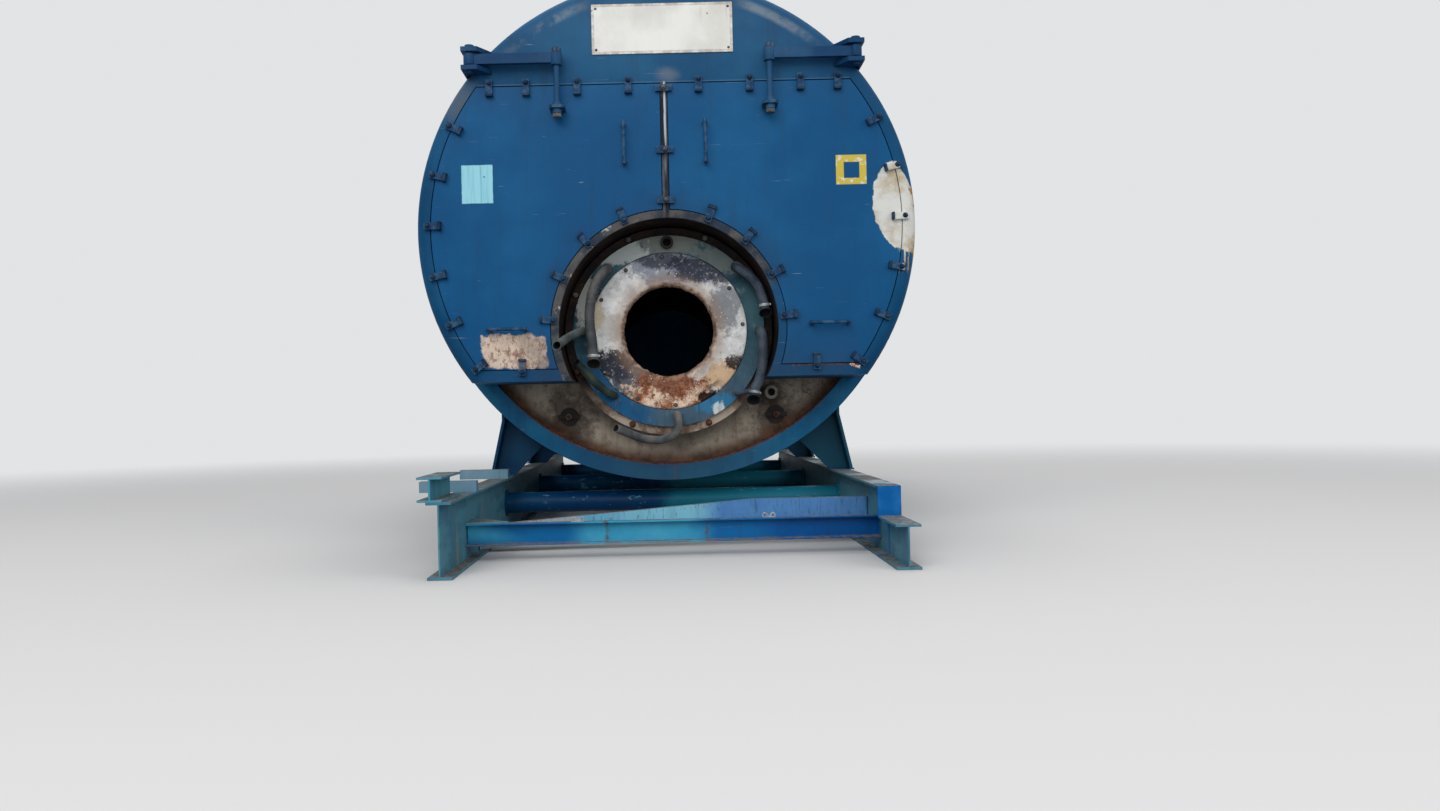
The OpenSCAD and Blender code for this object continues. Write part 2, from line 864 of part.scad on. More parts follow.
module lug(y) {
  color("#1d5c93") difference() {
    translate([-10, y - 90, axis_h + jacket_r - 60]) cube([20, 180, 160]);
    disc(jacket_r, y - 200, y + 200, axis_h);
    translate([-11, y, top_z + 50]) rotate([0, 90, 0]) cylinder(r = 28, h = 22);
  }
}

module front_lifting_lug() {
  lug(leg_y + 120);
}

module rear_lifting_lug() {
  lug(leg_y + 2 * leg_pitch + 20);
}

at_front() {
  pressure_shell();
  jacket();
  front_ring();
  rear_ring();
  front_tube_sheet();
  rear_tube_sheet();
  furnace_tube();
  burner_flange();
  burner_ring();
  throat_refractory();
  smokebox_wrapper();
  smokebox_frame();
  sign_plate();
  left_davit_bracket();
  right_davit_bracket();
  left_davit_arm();
  right_davit_arm();
  left_leaf();
  right_leaf();
  left_hanger_rod();
  right_hanger_rod();
  upper_left_pipe();
  left_branch_pipe();
  lower_left_pipe();
  lower_middle_pipe();
  upper_right_pipe();
  lower_right_pipe();
  front_nipple();
  left_handhole();
  right_handhole();
  left_beam();
  right_beam();
  front_channel();
  bent_channel();
  front_cross_pipe();
  middle_cross_pipe();
  rear_cross_pipe();
  front_left_leg();
  front_right_leg();
  middle_left_leg();
  middle_right_leg();
  rear_left_leg();
  rear_right_leg();
  stub_beam();
  front_outrigger_bar();
  rear_outrigger_bar();
  rear_smokebox();
  rear_cover();
  steam_nozzle();
  manway();
  manway_cover();
  safety_nozzle();
  flue_outlet();
  front_lifting_lug();
  rear_lifting_lug();
}
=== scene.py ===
"""Looks of an industrial fire-tube boiler on its beam skid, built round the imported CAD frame."""
import math
import random

import bmesh
import bpy
from mathutils import Matrix, Vector, noise


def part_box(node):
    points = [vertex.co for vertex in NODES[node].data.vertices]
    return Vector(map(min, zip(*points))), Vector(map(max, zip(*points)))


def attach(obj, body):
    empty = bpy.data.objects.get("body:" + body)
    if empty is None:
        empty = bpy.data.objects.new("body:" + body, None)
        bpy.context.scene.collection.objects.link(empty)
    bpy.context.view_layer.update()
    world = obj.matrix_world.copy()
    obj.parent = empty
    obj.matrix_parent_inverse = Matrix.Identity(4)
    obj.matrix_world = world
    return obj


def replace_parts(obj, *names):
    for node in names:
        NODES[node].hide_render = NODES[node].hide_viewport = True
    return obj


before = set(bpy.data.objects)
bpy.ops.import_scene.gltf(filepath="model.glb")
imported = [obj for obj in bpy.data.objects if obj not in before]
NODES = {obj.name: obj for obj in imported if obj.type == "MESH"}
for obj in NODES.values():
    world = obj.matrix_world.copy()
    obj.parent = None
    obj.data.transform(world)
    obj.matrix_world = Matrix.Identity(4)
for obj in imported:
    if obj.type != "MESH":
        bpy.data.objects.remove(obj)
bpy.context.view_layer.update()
ROOT = "boiler"
SIDES = (("left", -1, "left_door"), ("right", 1, "right_door"))
FRONT, UP = (0, -1, 0), (0, 0, 1)

# Sizes read from the frame, in metres
LO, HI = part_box("jacket")
AXIS_Z = (LO.z + HI.z) / 2
LAP_R = (HI.x - LO.x) / 2
JACKET_R = LAP_R - 0.003
FRONT_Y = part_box("left_beam")[0].y
BEAM_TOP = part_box("left_beam")[1].z
DOOR_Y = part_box("smokebox_frame")[0].y
RING_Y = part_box("front_ring")[0].y
REAR_RING_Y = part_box("rear_ring")[0].y
SHEET_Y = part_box("front_tube_sheet")[0].y
REAR_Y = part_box("rear_cover")[1].y - 0.024
BOX_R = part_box("smokebox_frame")[1].x
CHORD_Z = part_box("smokebox_frame")[0].z
FLANGE_LO, FLANGE_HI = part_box("burner_flange")
FURNACE_Z = (FLANGE_LO.z + FLANGE_HI.z) / 2
FLANGE_R = (FLANGE_HI.x - FLANGE_LO.x) / 2
FLANGE_Y = FLANGE_LO.y
THROAT_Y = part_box("burner_ring")[0].y
ARM_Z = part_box("right_davit_arm")[1].z - 0.027


def middle_y(name):
    lo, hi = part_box(name)
    return (lo.y + hi.y) / 2


LEG_YS = [middle_y(row + "_left_leg") for row in ("front", "middle", "rear")]
MANWAY_Y, STEAM_Y, SAFETY_Y = middle_y("manway"), middle_y("steam_nozzle"), middle_y("safety_nozzle")
COVER_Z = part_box("manway")[1].z + 0.024

# Sizes repeated from the source, in metres
RING_T = 0.012
RING_IN_R = 0.410
THROAT_R = 0.232
STUD_R = FLANGE_R - 0.019
SEAM_R = BOX_R - 0.073
SEAM_ARCH_R = FLANGE_R + 0.048
SEAM_TOP_Z = ARM_Z - 0.114
SEAM_BOTTOM_Z = CHORD_Z + 0.057
HANG_Z = SEAM_TOP_Z - 0.130
DOG_FACE = -0.021
BEAM_X = 0.940
WEB_IN = 0.9365
NOTCH_L = 0.380


def srgb(r, g, b):
    """Scene-linear colour of an sRGB colour in 0 to 255."""
    def lin(c):
        c /= 255
        return c / 12.92 if c <= 0.04045 else ((c + 0.055) / 1.055) ** 2.4
    return (lin(r), lin(g), lin(b), 1.0)


def operator(name, swap=False):
    """Method that wires a math node between a value and a number or another value."""
    def method(self, other=0.0):
        return self.graph.math(name, *((other, self) if swap else (self, other)))
    return method


class Value:
    """Output of a shader node that takes part in plain arithmetic."""

    def __init__(self, graph, socket):
        self.graph, self.socket = graph, socket

    __add__ = operator("ADD")
    __radd__ = operator("ADD", True)
    __sub__ = operator("SUBTRACT")
    __rsub__ = operator("SUBTRACT", True)
    __mul__ = operator("MULTIPLY")
    __rmul__ = operator("MULTIPLY", True)
    __truediv__ = operator("DIVIDE")
    __abs__ = operator("ABSOLUTE")


class Graph:
    """Wires the nodes of a node tree with plain calls."""

    def __init__(self, tree):
        self.tree = tree
        tree.nodes.clear()

    def put(self, value, socket):
        """Links a value, or sets a number or an sRGB colour in 0 to 255."""
        if isinstance(value, Value):
            self.tree.links.new(value.socket, socket)
        elif socket.type == "RGBA" and len(value) == 3:
            socket.default_value = srgb(*value)
        else:
            socket.default_value = value

    def node(self, kind, inputs, out=0, **settings):
        """Output of a new node with those settings and inputs."""
        n = self.tree.nodes.new("ShaderNode" + kind)
        for key, value in settings.items():
            setattr(n, key, value)
        for key, value in inputs.items():
            self.put(value, n.inputs[key])
        return Value(self, n.outputs[out]) if n.outputs else None

    def split(self, vector):
        """X, Y and Z of a vector."""
        return [Value(self, out) for out in self.node("SeparateXYZ", {0: vector}).socket.node.outputs]

    def math(self, op, a, b=0.0):
        return self.node("Math", {0: a, 1: b}, operation=op)

    def most(self, a, b):
        return self.math("MAXIMUM", a, b)

    def mix(self, fac, a, b):
        return self.node("Mix", {"Factor": fac, 6: a, 7: b}, 2, data_type="RGBA")

    def seen(self):
        """1 for rays from the camera, a reflection or glass."""
        rays = self.node("LightPath", {}).socket.node.outputs
        camera = Value(self, rays["Is Camera Ray"])
        glossy = Value(self, rays["Is Glossy Ray"])
        glass = Value(self, rays["Is Transmission Ray"])
        return self.most(camera, self.most(glossy, glass))


class Surface(Graph):
    """Material whose colour is laid in coats, with where it is bare of paint."""

    def __init__(self, name):
        self.mat = bpy.data.materials.new(name)
        self.mat.use_nodes = True
        super().__init__(self.mat.node_tree)
        shader = self.node("BsdfPrincipled", {})
        self.node("OutputMaterial", {0: shader})
        self.bsdf = shader.socket.node.inputs
        self.pos = self.node("TexCoord", {}, "Object")
        self.x, self.y, self.z = self.split(self.pos)

    def coat(self, mask, tone, amount=None):
        """Lays a tone over the colour where mask is 1."""
        if amount is not None:
            mask = mask * amount
        self.color = self.mix(mask, self.color, tone)

    def ease(self, v, lo, hi):
        """Smooth step from 0 at lo to 1 at hi, which may be the lesser."""
        inputs = {"Value": v, "From Min": lo, "From Max": hi}
        return self.node("MapRange", inputs, interpolation_type="SMOOTHSTEP")

    def noise(self, scale, detail=4.0, rough=0.55, distort=0.0):
        """Noise of that scale, or of a scale for X, Y and Z and a shift."""
        at = self.pos
        if isinstance(scale, tuple):
            shift = scale[3]
            place = (shift, shift * 0.7, shift * 1.3)
            at = self.node("Mapping", {0: at, "Scale": scale[:3], "Location": place})
            scale = 1.0
        return self.node("TexNoise", {"Vector": at, "Scale": scale, "Detail": detail, "Roughness": rough,
                                      "Distortion": distort}, "Fac")

    def spots(self, lo, hi, *noise):
        """Noise taken through a smooth step."""
        return self.ease(self.noise(*noise), lo, hi)

    def stray(self, amount, *noise):
        """Noise that wanders by half that amount to either side of 0."""
        return (self.noise(*noise) - 0.5) * amount

    def length(self, dx, dz):
        return self.math("SQRT", dx * dx + dz * dz)

    def radius(self, cz):
        """Distance from the line along Y at height cz."""
        return self.length(self.x, self.z - cz)

    def rect(self, cx, cz, w, h, soft=0.004, ragged=0.0, scale=14.0):
        """1 inside a rectangle in X and Z whose edges may wander by that many metres."""
        d = self.most(abs(self.x - cx) - w / 2, abs(self.z - cz) - h / 2)
        if ragged:
            d = d + self.stray(ragged * 2, scale, 8, 0.7)
        return self.ease(d, soft, -soft)

    def oval(self, cx, cz, rx, rz):
        """Distance from a centre in X and Z, where 1 is the edge of an ellipse."""
        return self.length((self.x - cx) / rx, (self.z - cz) / rz)

    def blob(self, cx, cz, rx, rz):
        """1 inside a ragged ellipse in X and Z."""
        return self.ease(self.oval(cx, cz, rx, rz) + self.stray(1.6, 9.0, 8, 0.65), 1.8, 0.2)

    def cloud(self, cx, cz, rx, rz, noise, soft=0.16):
        """1 inside an ellipse in X and Z that a noise breaks up into a ragged cloud."""
        field = 1.0 - self.oval(cx, cz, rx, rz) + (noise - 0.5) * 2.6
        return self.ease(field, 0.16 - soft, 0.16 + soft)

    def facing_up(self):
        """1 on surfaces that face up."""
        normal = self.node("NewGeometry", {}, "Normal")
        return self.ease(self.split(normal)[2], 0.55, 0.9)

    def finish(self, rough, height=None, strength=0.0, distance=0.0, metallic=0.0, specular=0.5):
        """Material with the colour so far, a roughness and, where given, a bumped height."""
        inputs = {"Base Color": self.color, "Roughness": rough, "Metallic": metallic}
        inputs["Specular IOR Level"] = specular
        if height is not None:
            bump = {"Strength": strength, "Distance": distance, "Height": height}
            inputs["Normal"] = self.node("Bump", bump)
        for key, value in inputs.items():
            self.put(value, self.bsdf[key])
        return self.mat


RUST_DARK, RUST, RUST_PALE = (54, 32, 22), (112, 60, 36), (158, 100, 64)
GRIME = (34, 38, 42)
CHALK = (200, 198, 190)
BLUE, BLUE_FADED = (0, 74, 121), (8, 86, 133)


def rust_color(g):
    """Mottled rust."""
    deep = g.mix(g.spots(0.35, 0.65, 38, 6, 0.7), RUST_DARK, RUST)
    return g.mix(g.spots(0.55, 0.75, 90, 3, 0.6), deep, RUST_PALE)


def paint(name, base, faded, chips, rust, grime, rough, marks=None, fade_scale=1.6):
    """Old sprayed paint: fading clouds, run-down dirt, scratches, chips to rust."""
    g = Surface(name)
    g.color = g.mix(g.spots(0.38, 0.68, fade_scale, 5, 0.6), base, faded)
    fine = g.noise(26, 6, 0.65)
    g.coat(g.ease(fine, 0.48, 0.75), faded, 0.18)
    g.coat(g.spots(0.52, 0.74, (22, 22, 1.4, 3.1), 6, 0.6), GRIME, grime)
    g.coat(g.spots(0.71, 0.77, (5, 5, 160, 1.7), 3, 0.5, 1.2), CHALK, 0.3)
    chip_noise = g.noise(9, 8, 0.72) * 0.6 + g.noise(60, 4, 0.6) * 0.4
    chip = g.ease(chip_noise, 0.70 - 0.14 * chips, 0.715 - 0.14 * chips)
    rust_mask = g.ease(chip_noise, 0.73 - 0.14 * rust, 0.75 - 0.14 * rust)
    g.coat(chip, faded, 0.6)
    g.coat(rust_mask, rust_color(g))
    g.bare = rust_mask
    if marks:
        marks(g)
    roughness = g.most((fine - 0.5) * 0.25 + rough, g.bare * 0.85)
    height = g.noise(3.2, 2, 0.5) * 2.2 + g.noise(180, 3, 0.6) * 0.05
    height = height - g.most(chip, g.bare) * 0.12
    return g.finish(roughness, height, 0.35, 0.004, specular=0.10)


def peel(g, up):
    """Bare white area at the right edge: bowed left side, flat top, drips below."""
    stray = g.stray(0.07, 11, 7, 0.7)
    bow = up - 0.105
    left = bow * bow * 1.75 + 1.034
    inside = g.ease(g.x - left + stray, -0.003, 0.003)
    top = 0.3 - g.most(g.x - 1.15, 0.0) * 1.6
    inside = inside * g.ease(top - up + stray, -0.003, 0.003)
    foot = -0.13 - (g.x - 1.138) * 0.42
    inside = inside * g.ease(up - foot + stray, -0.003, 0.003)
    drip = g.rect(1.2, AXIS_Z - 0.185, 0.08, 0.13, 0.015) * g.spots(0.5, 0.55, (60, 60, 5, 2.2), 4, 0.6)
    back = g.y + g.stray(0.22, 9, 9, 0.75)
    return g.most(inside, drip) * g.ease(back, DOOR_Y + 0.135, DOOR_Y + 0.125)


def front_marks(g):
    """Patches and stains on the door leaves and the frame round them, with a painted sheen towards the top
    and painted shade towards the bottom.
    """
    up = g.z - AXIS_Z
    # Paler towards the top: a painted sky sheen.
    g.coat(g.ease(up, 0.45, 1.2), (104, 134, 156), 0.13)
    # Darker and mottled towards the bottom: painted shade.
    low_shade = g.ease(up, -0.45, -0.75) * g.spots(0.35, 0.65, 5, 6, 0.65)
    g.coat(low_shade, (52, 62, 74), 0.3)
    # Pale square where a plate was
    patch = g.rect(-0.941, AXIS_Z + 0.232, 0.156, 0.191, 0.002, 0.004, 30)
    grain = g.noise((50, 50, 4, 4.0), 5, 0.6)
    inner = g.mix(g.ease(grain, 0.42, 0.7) * 0.45, (150, 208, 220), (96, 172, 198))
    inner = g.mix(g.rect(-0.922, AXIS_Z + 0.232, 0.003, 0.18, 0.0008) * 0.6, inner, (56, 118, 150))
    inner = g.mix(g.rect(-0.905, AXIS_Z + 0.268, 0.007, 0.007, 0.002), inner, (40, 80, 110))
    g.coat(patch, inner)
    # Bare frame of a plate on the right
    outer = g.rect(0.930, AXIS_Z + 0.264, 0.152, 0.147, 0.002)
    hole = g.rect(0.932, AXIS_Z + 0.262, 0.078, 0.080, 0.002)
    edge = outer * (1.0 - hole)
    frame_tone = g.mix(g.spots(0.52, 0.6, 26, 5), (208, 184, 66), (222, 218, 202))
    g.coat(edge, frame_tone, 0.94)
    # Peeled white area on the right
    bared = peel(g, up)
    stain = g.mix(g.spots(0.42, 0.68, 7, 6, 0.6), (214, 214, 208), (178, 160, 128))
    stain = g.mix(g.ease(g.x, 1.17, 1.22) * g.spots(0.48, 0.6, 9, 7, 0.7), stain, (158, 116, 66))
    stain = g.mix(g.spots(0.64, 0.68, 24, 8, 0.75), stain, BLUE_FADED)
    rim = g.ease(bared, 0.05, 0.5) * g.ease(bared, 0.95, 0.5)
    g.coat(bared, stain)
    g.coat(rim, (40, 56, 70), 0.6)
    # Blistered patch, lower left
    area = g.rect(-0.771, AXIS_Z - 0.610, 0.322, 0.160, 0.006, 0.045, 11)
    speck = g.noise((62, 30, 30, 7.0), 9, 0.75)
    shell = g.mix(g.ease(speck, 0.4, 0.52), (158, 124, 104), (214, 194, 176))
    shell = g.mix(g.spots(0.54, 0.64, 13, 6, 0.7) * 0.7, shell, (122, 86, 68))
    shell = g.mix(g.spots(0.44, 0.6, 5, 6, 0.7) * 0.45, shell, (128, 114, 104))
    blister = area * g.ease(speck, 0.28, 0.38)
    g.coat(blister, shell)
    # Dogs, handles and brackets are darker than the plate they sit on
    proud = g.ease(g.y, DOOR_Y - 0.003, DOOR_Y - 0.006)
    handled = g.mix(g.spots(0.42, 0.62, 30, 6, 0.7), (18, 50, 82), (58, 88, 112))
    g.coat(proud * (1.0 - bared), handled, 0.85)
    # Dusty smudge above the middle dog
    smudge = g.blob(0.025, AXIS_Z + 0.760, 0.050, 0.032)
    g.coat(smudge, (160, 154, 140), 0.25)
    # Soot round the arch
    near = g.ease(g.radius(FURNACE_Z), SEAM_ARCH_R + 0.16, SEAM_ARCH_R + 0.01)
    g.coat(near * g.spots(0.3, 0.7, 5, 5), (24, 54, 84), 0.4)
    g.bare = g.most(g.bare, g.most(bared, blister))


def door_marks(g):
    """Marks of the front, and the dusty lining on the back of a leaf."""
    front_marks(g)
    lining = g.ease(g.y, DOOR_Y + 0.0155, DOOR_Y + 0.017)
    dusty = g.mix(g.spots(0.35, 0.65, 8, 7, 0.65), (112, 104, 96), (164, 156, 144))
    dusty = g.mix(g.spots(0.58, 0.68, 15, 8, 0.7), dusty, rust_color(g))
    g.coat(lining, dusty)
    g.bare = g.most(g.bare, lining)


def rim_marks(g):
    """Chalky wear with a painted highlight on the rounded rim, worn band over the arch, streaked middle
    post with a painted reflection line, and a painted highlight line above the top seam.
    """
    up = g.z - AXIS_Z
    slant = abs(g.x) / g.most(up, 0.05)
    along = g.ease(slant, 0.3, 0.42) * g.ease(slant, 1.0, 0.62)
    front_marks(g)
    # Pale band along the upper sides of the rounded rim: chalky scuffs with a painted sky highlight.
    off = abs(g.radius(AXIS_Z) - 1.178)
    chalk_and_highlight = along * g.ease(off, 0.034, 0.006) * g.spots(0.38, 0.6, 4.0, 9, 0.75)
    g.coat(chalk_and_highlight, (158, 166, 166), 0.45)
    foul = g.blob(-1.03, AXIS_Z + 0.645, 0.1, 0.1) * 0.4
    foul = foul * g.ease(g.y, DOOR_Y + 0.09, DOOR_Y + 0.03)
    g.coat(foul, (112, 112, 104))
    r_arch = g.radius(FURNACE_Z)
    arch = g.ease(r_arch, SEAM_ARCH_R + 0.001, SEAM_ARCH_R - 0.002)
    worn = g.mix(g.spots(0.4, 0.62, 9, 7, 0.7), (44, 46, 50), (92, 86, 78))
    chipped = g.spots(0.58, 0.62, 12, 10, 0.8) * g.ease(g.x, -0.05, -0.25)
    worn = g.mix(chipped * 0.9, worn, CHALK)
    painted = g.ease(g.x, 0.36, 0.46) * g.ease(g.z, FURNACE_Z + 0.3, FURNACE_Z + 0.16)
    g.coat(arch * (1.0 - painted), worn, 0.85)
    side = abs(g.x)
    post = g.ease(side, 0.017, 0.014) * g.ease(g.z, SEAM_TOP_Z + 0.01, SEAM_TOP_Z)
    grain = g.noise((60, 60, 6, 1.1), 5, 0.6)
    streak = g.mix(g.ease(grain, 0.4, 0.62), (40, 38, 44), (84, 88, 96))
    # Pale line down the upper half of the post: a painted reflection.
    pale = g.ease(abs(g.x - 0.004), 0.007, 0.003) * g.ease(up, 0.2, 0.55)
    streak = g.mix(pale * g.ease(grain, 0.3, 0.55), streak, (186, 188, 190))
    g.coat(post, streak)
    # Light line just above the top seam: a painted highlight on the frame's edge.
    seam_highlight_line = g.rect(0.0, SEAM_TOP_Z + 0.004, 1.86, 0.005, 0.001)
    g.coat(seam_highlight_line, (96, 128, 150), 0.35)
    low_line = g.rect(0.78, SEAM_BOTTOM_Z - 0.004, 0.33, 0.006, 0.002, 0.002, 40)
    g.coat(low_line, rust_color(g), 0.9)
    g.bare = g.most(g.bare, g.most(chalk_and_highlight, post))
    r = g.radius(AXIS_Z)
    behind = g.ease(r, BOX_R - 0.078, BOX_R - 0.082) * g.ease(g.y, DOOR_Y + 0.021, DOOR_Y + 0.024)
    wall = g.ease(r, BOX_R - 0.005, BOX_R - 0.009) * g.ease(g.y, DOOR_Y + 0.062, DOOR_Y + 0.066)
    inside = g.most(behind, wall) * g.ease(g.z, CHORD_Z + 0.004, CHORD_Z + 0.008)
    scale = g.mix(g.spots(0.36, 0.64, 7, 7, 0.65), (16, 13, 13), (46, 36, 32))
    g.coat(inside, scale)
    g.bare = g.most(g.bare, inside)


def ring_marks(g):
    """Rust streak at the foot of the ring, rusty inner lip."""
    dull = g.ease(abs(g.x), 0.75, 0.15) * g.ease(g.z, AXIS_Z - 0.9, AXIS_Z - 1.15)
    g.coat(dull, (52, 66, 74), 0.4)
    foot = g.rect(0.02, AXIS_Z - 1.25, 0.010, 0.16, 0.006, 0.010, 30)
    g.coat(foot, (92, 66, 48), 0.45)
    lip = g.ease(g.radius(AXIS_Z), 1.216, 1.208) * g.ease(g.z, AXIS_Z - 0.8, AXIS_Z - 1.0)
    g.coat(lip, rust_color(g), 0.8)
    g.bare = g.most(g.bare, lip)


def drum_dust_and_shade(g):
    """Chalk and dust on the upper side of the drum, run down in streaks, and painted shade on its
    underside.
    """
    dust = g.facing_up() * g.spots(0.26, 0.7, 4.2, 9, 0.72)
    g.coat(dust, (116, 138, 150), 0.42)
    streaks = g.noise((3.0, 26, 1.0, 8.0), 6, 0.6)
    high = g.ease(g.z, AXIS_Z - 0.3, AXIS_Z + 0.9)
    g.coat(g.ease(streaks, 0.52, 0.7) * high, (96, 116, 130), 0.35)
    # Darker towards the bottom of the drum: painted shade.
    underside_shade = g.ease(g.z, AXIS_Z - 0.9, AXIS_Z - 1.2)
    g.coat(underside_shade, (30, 66, 84), 0.4)


def flange_top(g):
    """Dust and rust on what faces up."""
    dust = g.facing_up() * g.spots(0.25, 0.55, 6, 6, 0.65)
    dusty = g.mix(g.spots(0.4, 0.6, 40, 5), (92, 84, 78), (132, 126, 116))
    g.coat(dust, dusty, 0.85)
    g.bare = g.most(g.bare, dust)


def beam_marks(g):
    """Teal clouds on the webs, a saturated blue end plate on the right."""
    patch = g.spots(0.5, 0.56, (3, 1.8, 7.2, 15), 4, 0.6)
    g.coat(patch, (84, 142, 158), 0.7)
    streak = g.spots(0.58, 0.68, (10, 10, 1.6, 6.0), 5, 0.6) * g.ease(g.y, FRONT_Y + 1.6, FRONT_Y + 0.3)
    g.coat(streak, (142, 134, 96), 0.6)
    notch = g.y - (FRONT_Y + NOTCH_L)
    step = g.ease(notch, -0.03, -0.02) * g.ease(notch, 0.02, 0.002) * g.ease(g.x, 0.8, 0.82)
    g.coat(step, g.mix(g.spots(0.4, 0.7, 9, 5), (0, 88, 156), (30, 110, 170)))
    g.bare = g.bare * (1.0 - step)
    flange_top(g)


def channel_marks(g):
    """Cyan undercoat on the left and middle, deep blue overspray elsewhere, rust at two spots."""
    xx = g.x + g.stray(0.16, 5, 5, 0.6)
    middle = g.ease(xx, -0.52, -0.34) * g.ease(xx, 0.19, 0.07)
    left = g.ease(xx + (g.z - 0.1) * 2.0, -0.62, -0.88) * g.ease(g.z, 0.05, 0.13)
    hue = g.mix(g.noise(12, 4), (34, 136, 176), (78, 172, 200))
    g.coat(g.ease(xx, 0.05, -0.1), (14, 112, 164), 0.5)
    g.coat(g.most(middle, left), hue, 0.9)
    for cx in (-0.3, 0.152):
        spot = g.rect(cx, 0.118, 0.016, 0.11, 0.012, 0.04, 17) * g.spots(0.36, 0.56, 30, 6, 0.7)
        g.coat(spot, (86, 62, 48), 0.9)
    foot = g.ease(g.z, 0.082, 0.072) * g.spots(0.4, 0.58, 22, 6, 0.7)
    g.coat(foot, (112, 100, 90), 0.7)
    flange_top(g)


def bent_marks(g):
    """Grey and cyan on the left, periwinkle blue on the right, scratched all over."""
    xx = g.x + g.stray(0.14, 4, 5)
    g.coat(g.ease(xx, -0.42, -0.5), (150, 164, 170))
    g.coat(g.ease(xx, 0.08, 0.24), g.mix(g.noise(14, 5), (62, 116, 176), (92, 142, 194)))
    scuff = g.spots(0.56, 0.64, (60, 7, 9, 4.0), 5, 0.65, 1.5)
    g.coat(scuff, (60, 84, 92), 0.5)
    scab = g.spots(0.58, 0.64, 11, 8, 0.75) * g.ease(xx, 0.25, 0.05)
    g.coat(scab, (118, 102, 88), 0.6)
    flange_top(g)


def tube_marks(g):
    """Teal over the right half and in patches on the left."""
    right = g.ease(g.x + g.stray(0.5, 3, 5), -0.05, 0.1)
    g.coat(right, (28, 116, 136), 0.85)
    worn = g.spots(0.6, 0.64, (9, 22, 22, 2.0), 7, 0.75)
    g.coat(worn, (86, 158, 172), 0.75)


def leg_marks(g):
    """Teal patches, paler on the right."""
    teal = g.spots(0.46, 0.6, (2, 2, 2, 8.8), 5, 0.6)
    g.coat(teal, (16, 62, 78), 0.6)
    g.coat(g.ease(g.x, 0.2, 0.6), (24, 84, 104), 0.5)
    flange_top(g)


def pipe_marks(g):
    """Grey worn upper face on the bent pipes."""
    wear = g.facing_up() * g.spots(0.3, 0.6, 14, 6, 0.7)
    g.coat(wear, (122, 126, 126), 0.5)
    g.bare = g.most(g.bare, wear * 0.5)


# Old paints: name, two tones, chips, rust, grime, roughness, marks, scale of the fading
PAINTS = {
    "door": ("door_blue", BLUE, BLUE_FADED, 0.1, 0.04, 0.16, 0.42, door_marks),
    "rim": ("rim_blue", (2, 66, 106), (22, 84, 124), 0.25, 0.12, 0.25, 0.56, rim_marks),
    "ring": ("ring_blue", (2, 80, 122), (30, 106, 142), 0.3, 0.15, 0.3, 0.48, ring_marks),
    "jacket": ("jacket_blue", (8, 78, 128), (38, 104, 148), 0.22, 0.15, 0.28, 0.48, drum_dust_and_shade),
    "davit": ("davit_blue", (14, 58, 96), (46, 86, 120), 0.35, 0.22, 0.25, 0.45),
    "leg": ("leg_blue", (0, 40, 78), (16, 66, 98), 0.35, 0.25, 0.3, 0.48, leg_marks),
    "pipe": ("pipe_blue_grey", (32, 46, 60), (84, 94, 104), 0.6, 0.35, 0.45, 0.5, pipe_marks, 6),
    "branch_pipe": ("branch_grey", (46, 58, 62), (88, 96, 94), 0.5, 0.35, 0.45, 0.55, pipe_marks, 6),
    "green_pipe": ("pipe_green", (28, 42, 44), (70, 76, 60), 0.5, 0.35, 0.45, 0.55, pipe_marks, 6),
    "grey_pipe": ("pipe_grey", (60, 64, 68), (108, 106, 102), 0.5, 0.4, 0.5, 0.6, pipe_marks, 7),
    "beam": ("beam_teal", (64, 116, 138), (98, 142, 156), 0.45, 0.35, 0.35, 0.5, beam_marks),
    "channel": ("channel_blue", (0, 72, 136), (10, 98, 158), 0.35, 0.22, 0.25, 0.42, channel_marks),
    "bent": ("bent_pale_blue", (92, 160, 190), (122, 184, 206), 0.5, 0.25, 0.2, 0.48, bent_marks),
    "outrigger": ("outrigger_grey_blue", (96, 132, 152), (132, 156, 166), 0.5, 0.35, 0.3, 0.5, flange_top),
    "cross": ("cross_pipe_blue", (0, 48, 88), (12, 72, 106), 0.4, 0.2, 0.3, 0.42, tube_marks),
    "stub": ("stub_cyan", (72, 140, 160), (116, 150, 156), 0.5, 0.45, 0.45, 0.55, flange_top),
    "weld": ("weld_blue", (10, 62, 104), (54, 96, 122), 0.5, 0.4, 0.35, 0.5, None, 8),
    "dog": ("dog_blue", (18, 44, 72), (48, 72, 94), 0.5, 0.3, 0.35, 0.5, None, 9),
}
MATS = {key: paint(*row) for key, row in PAINTS.items()}


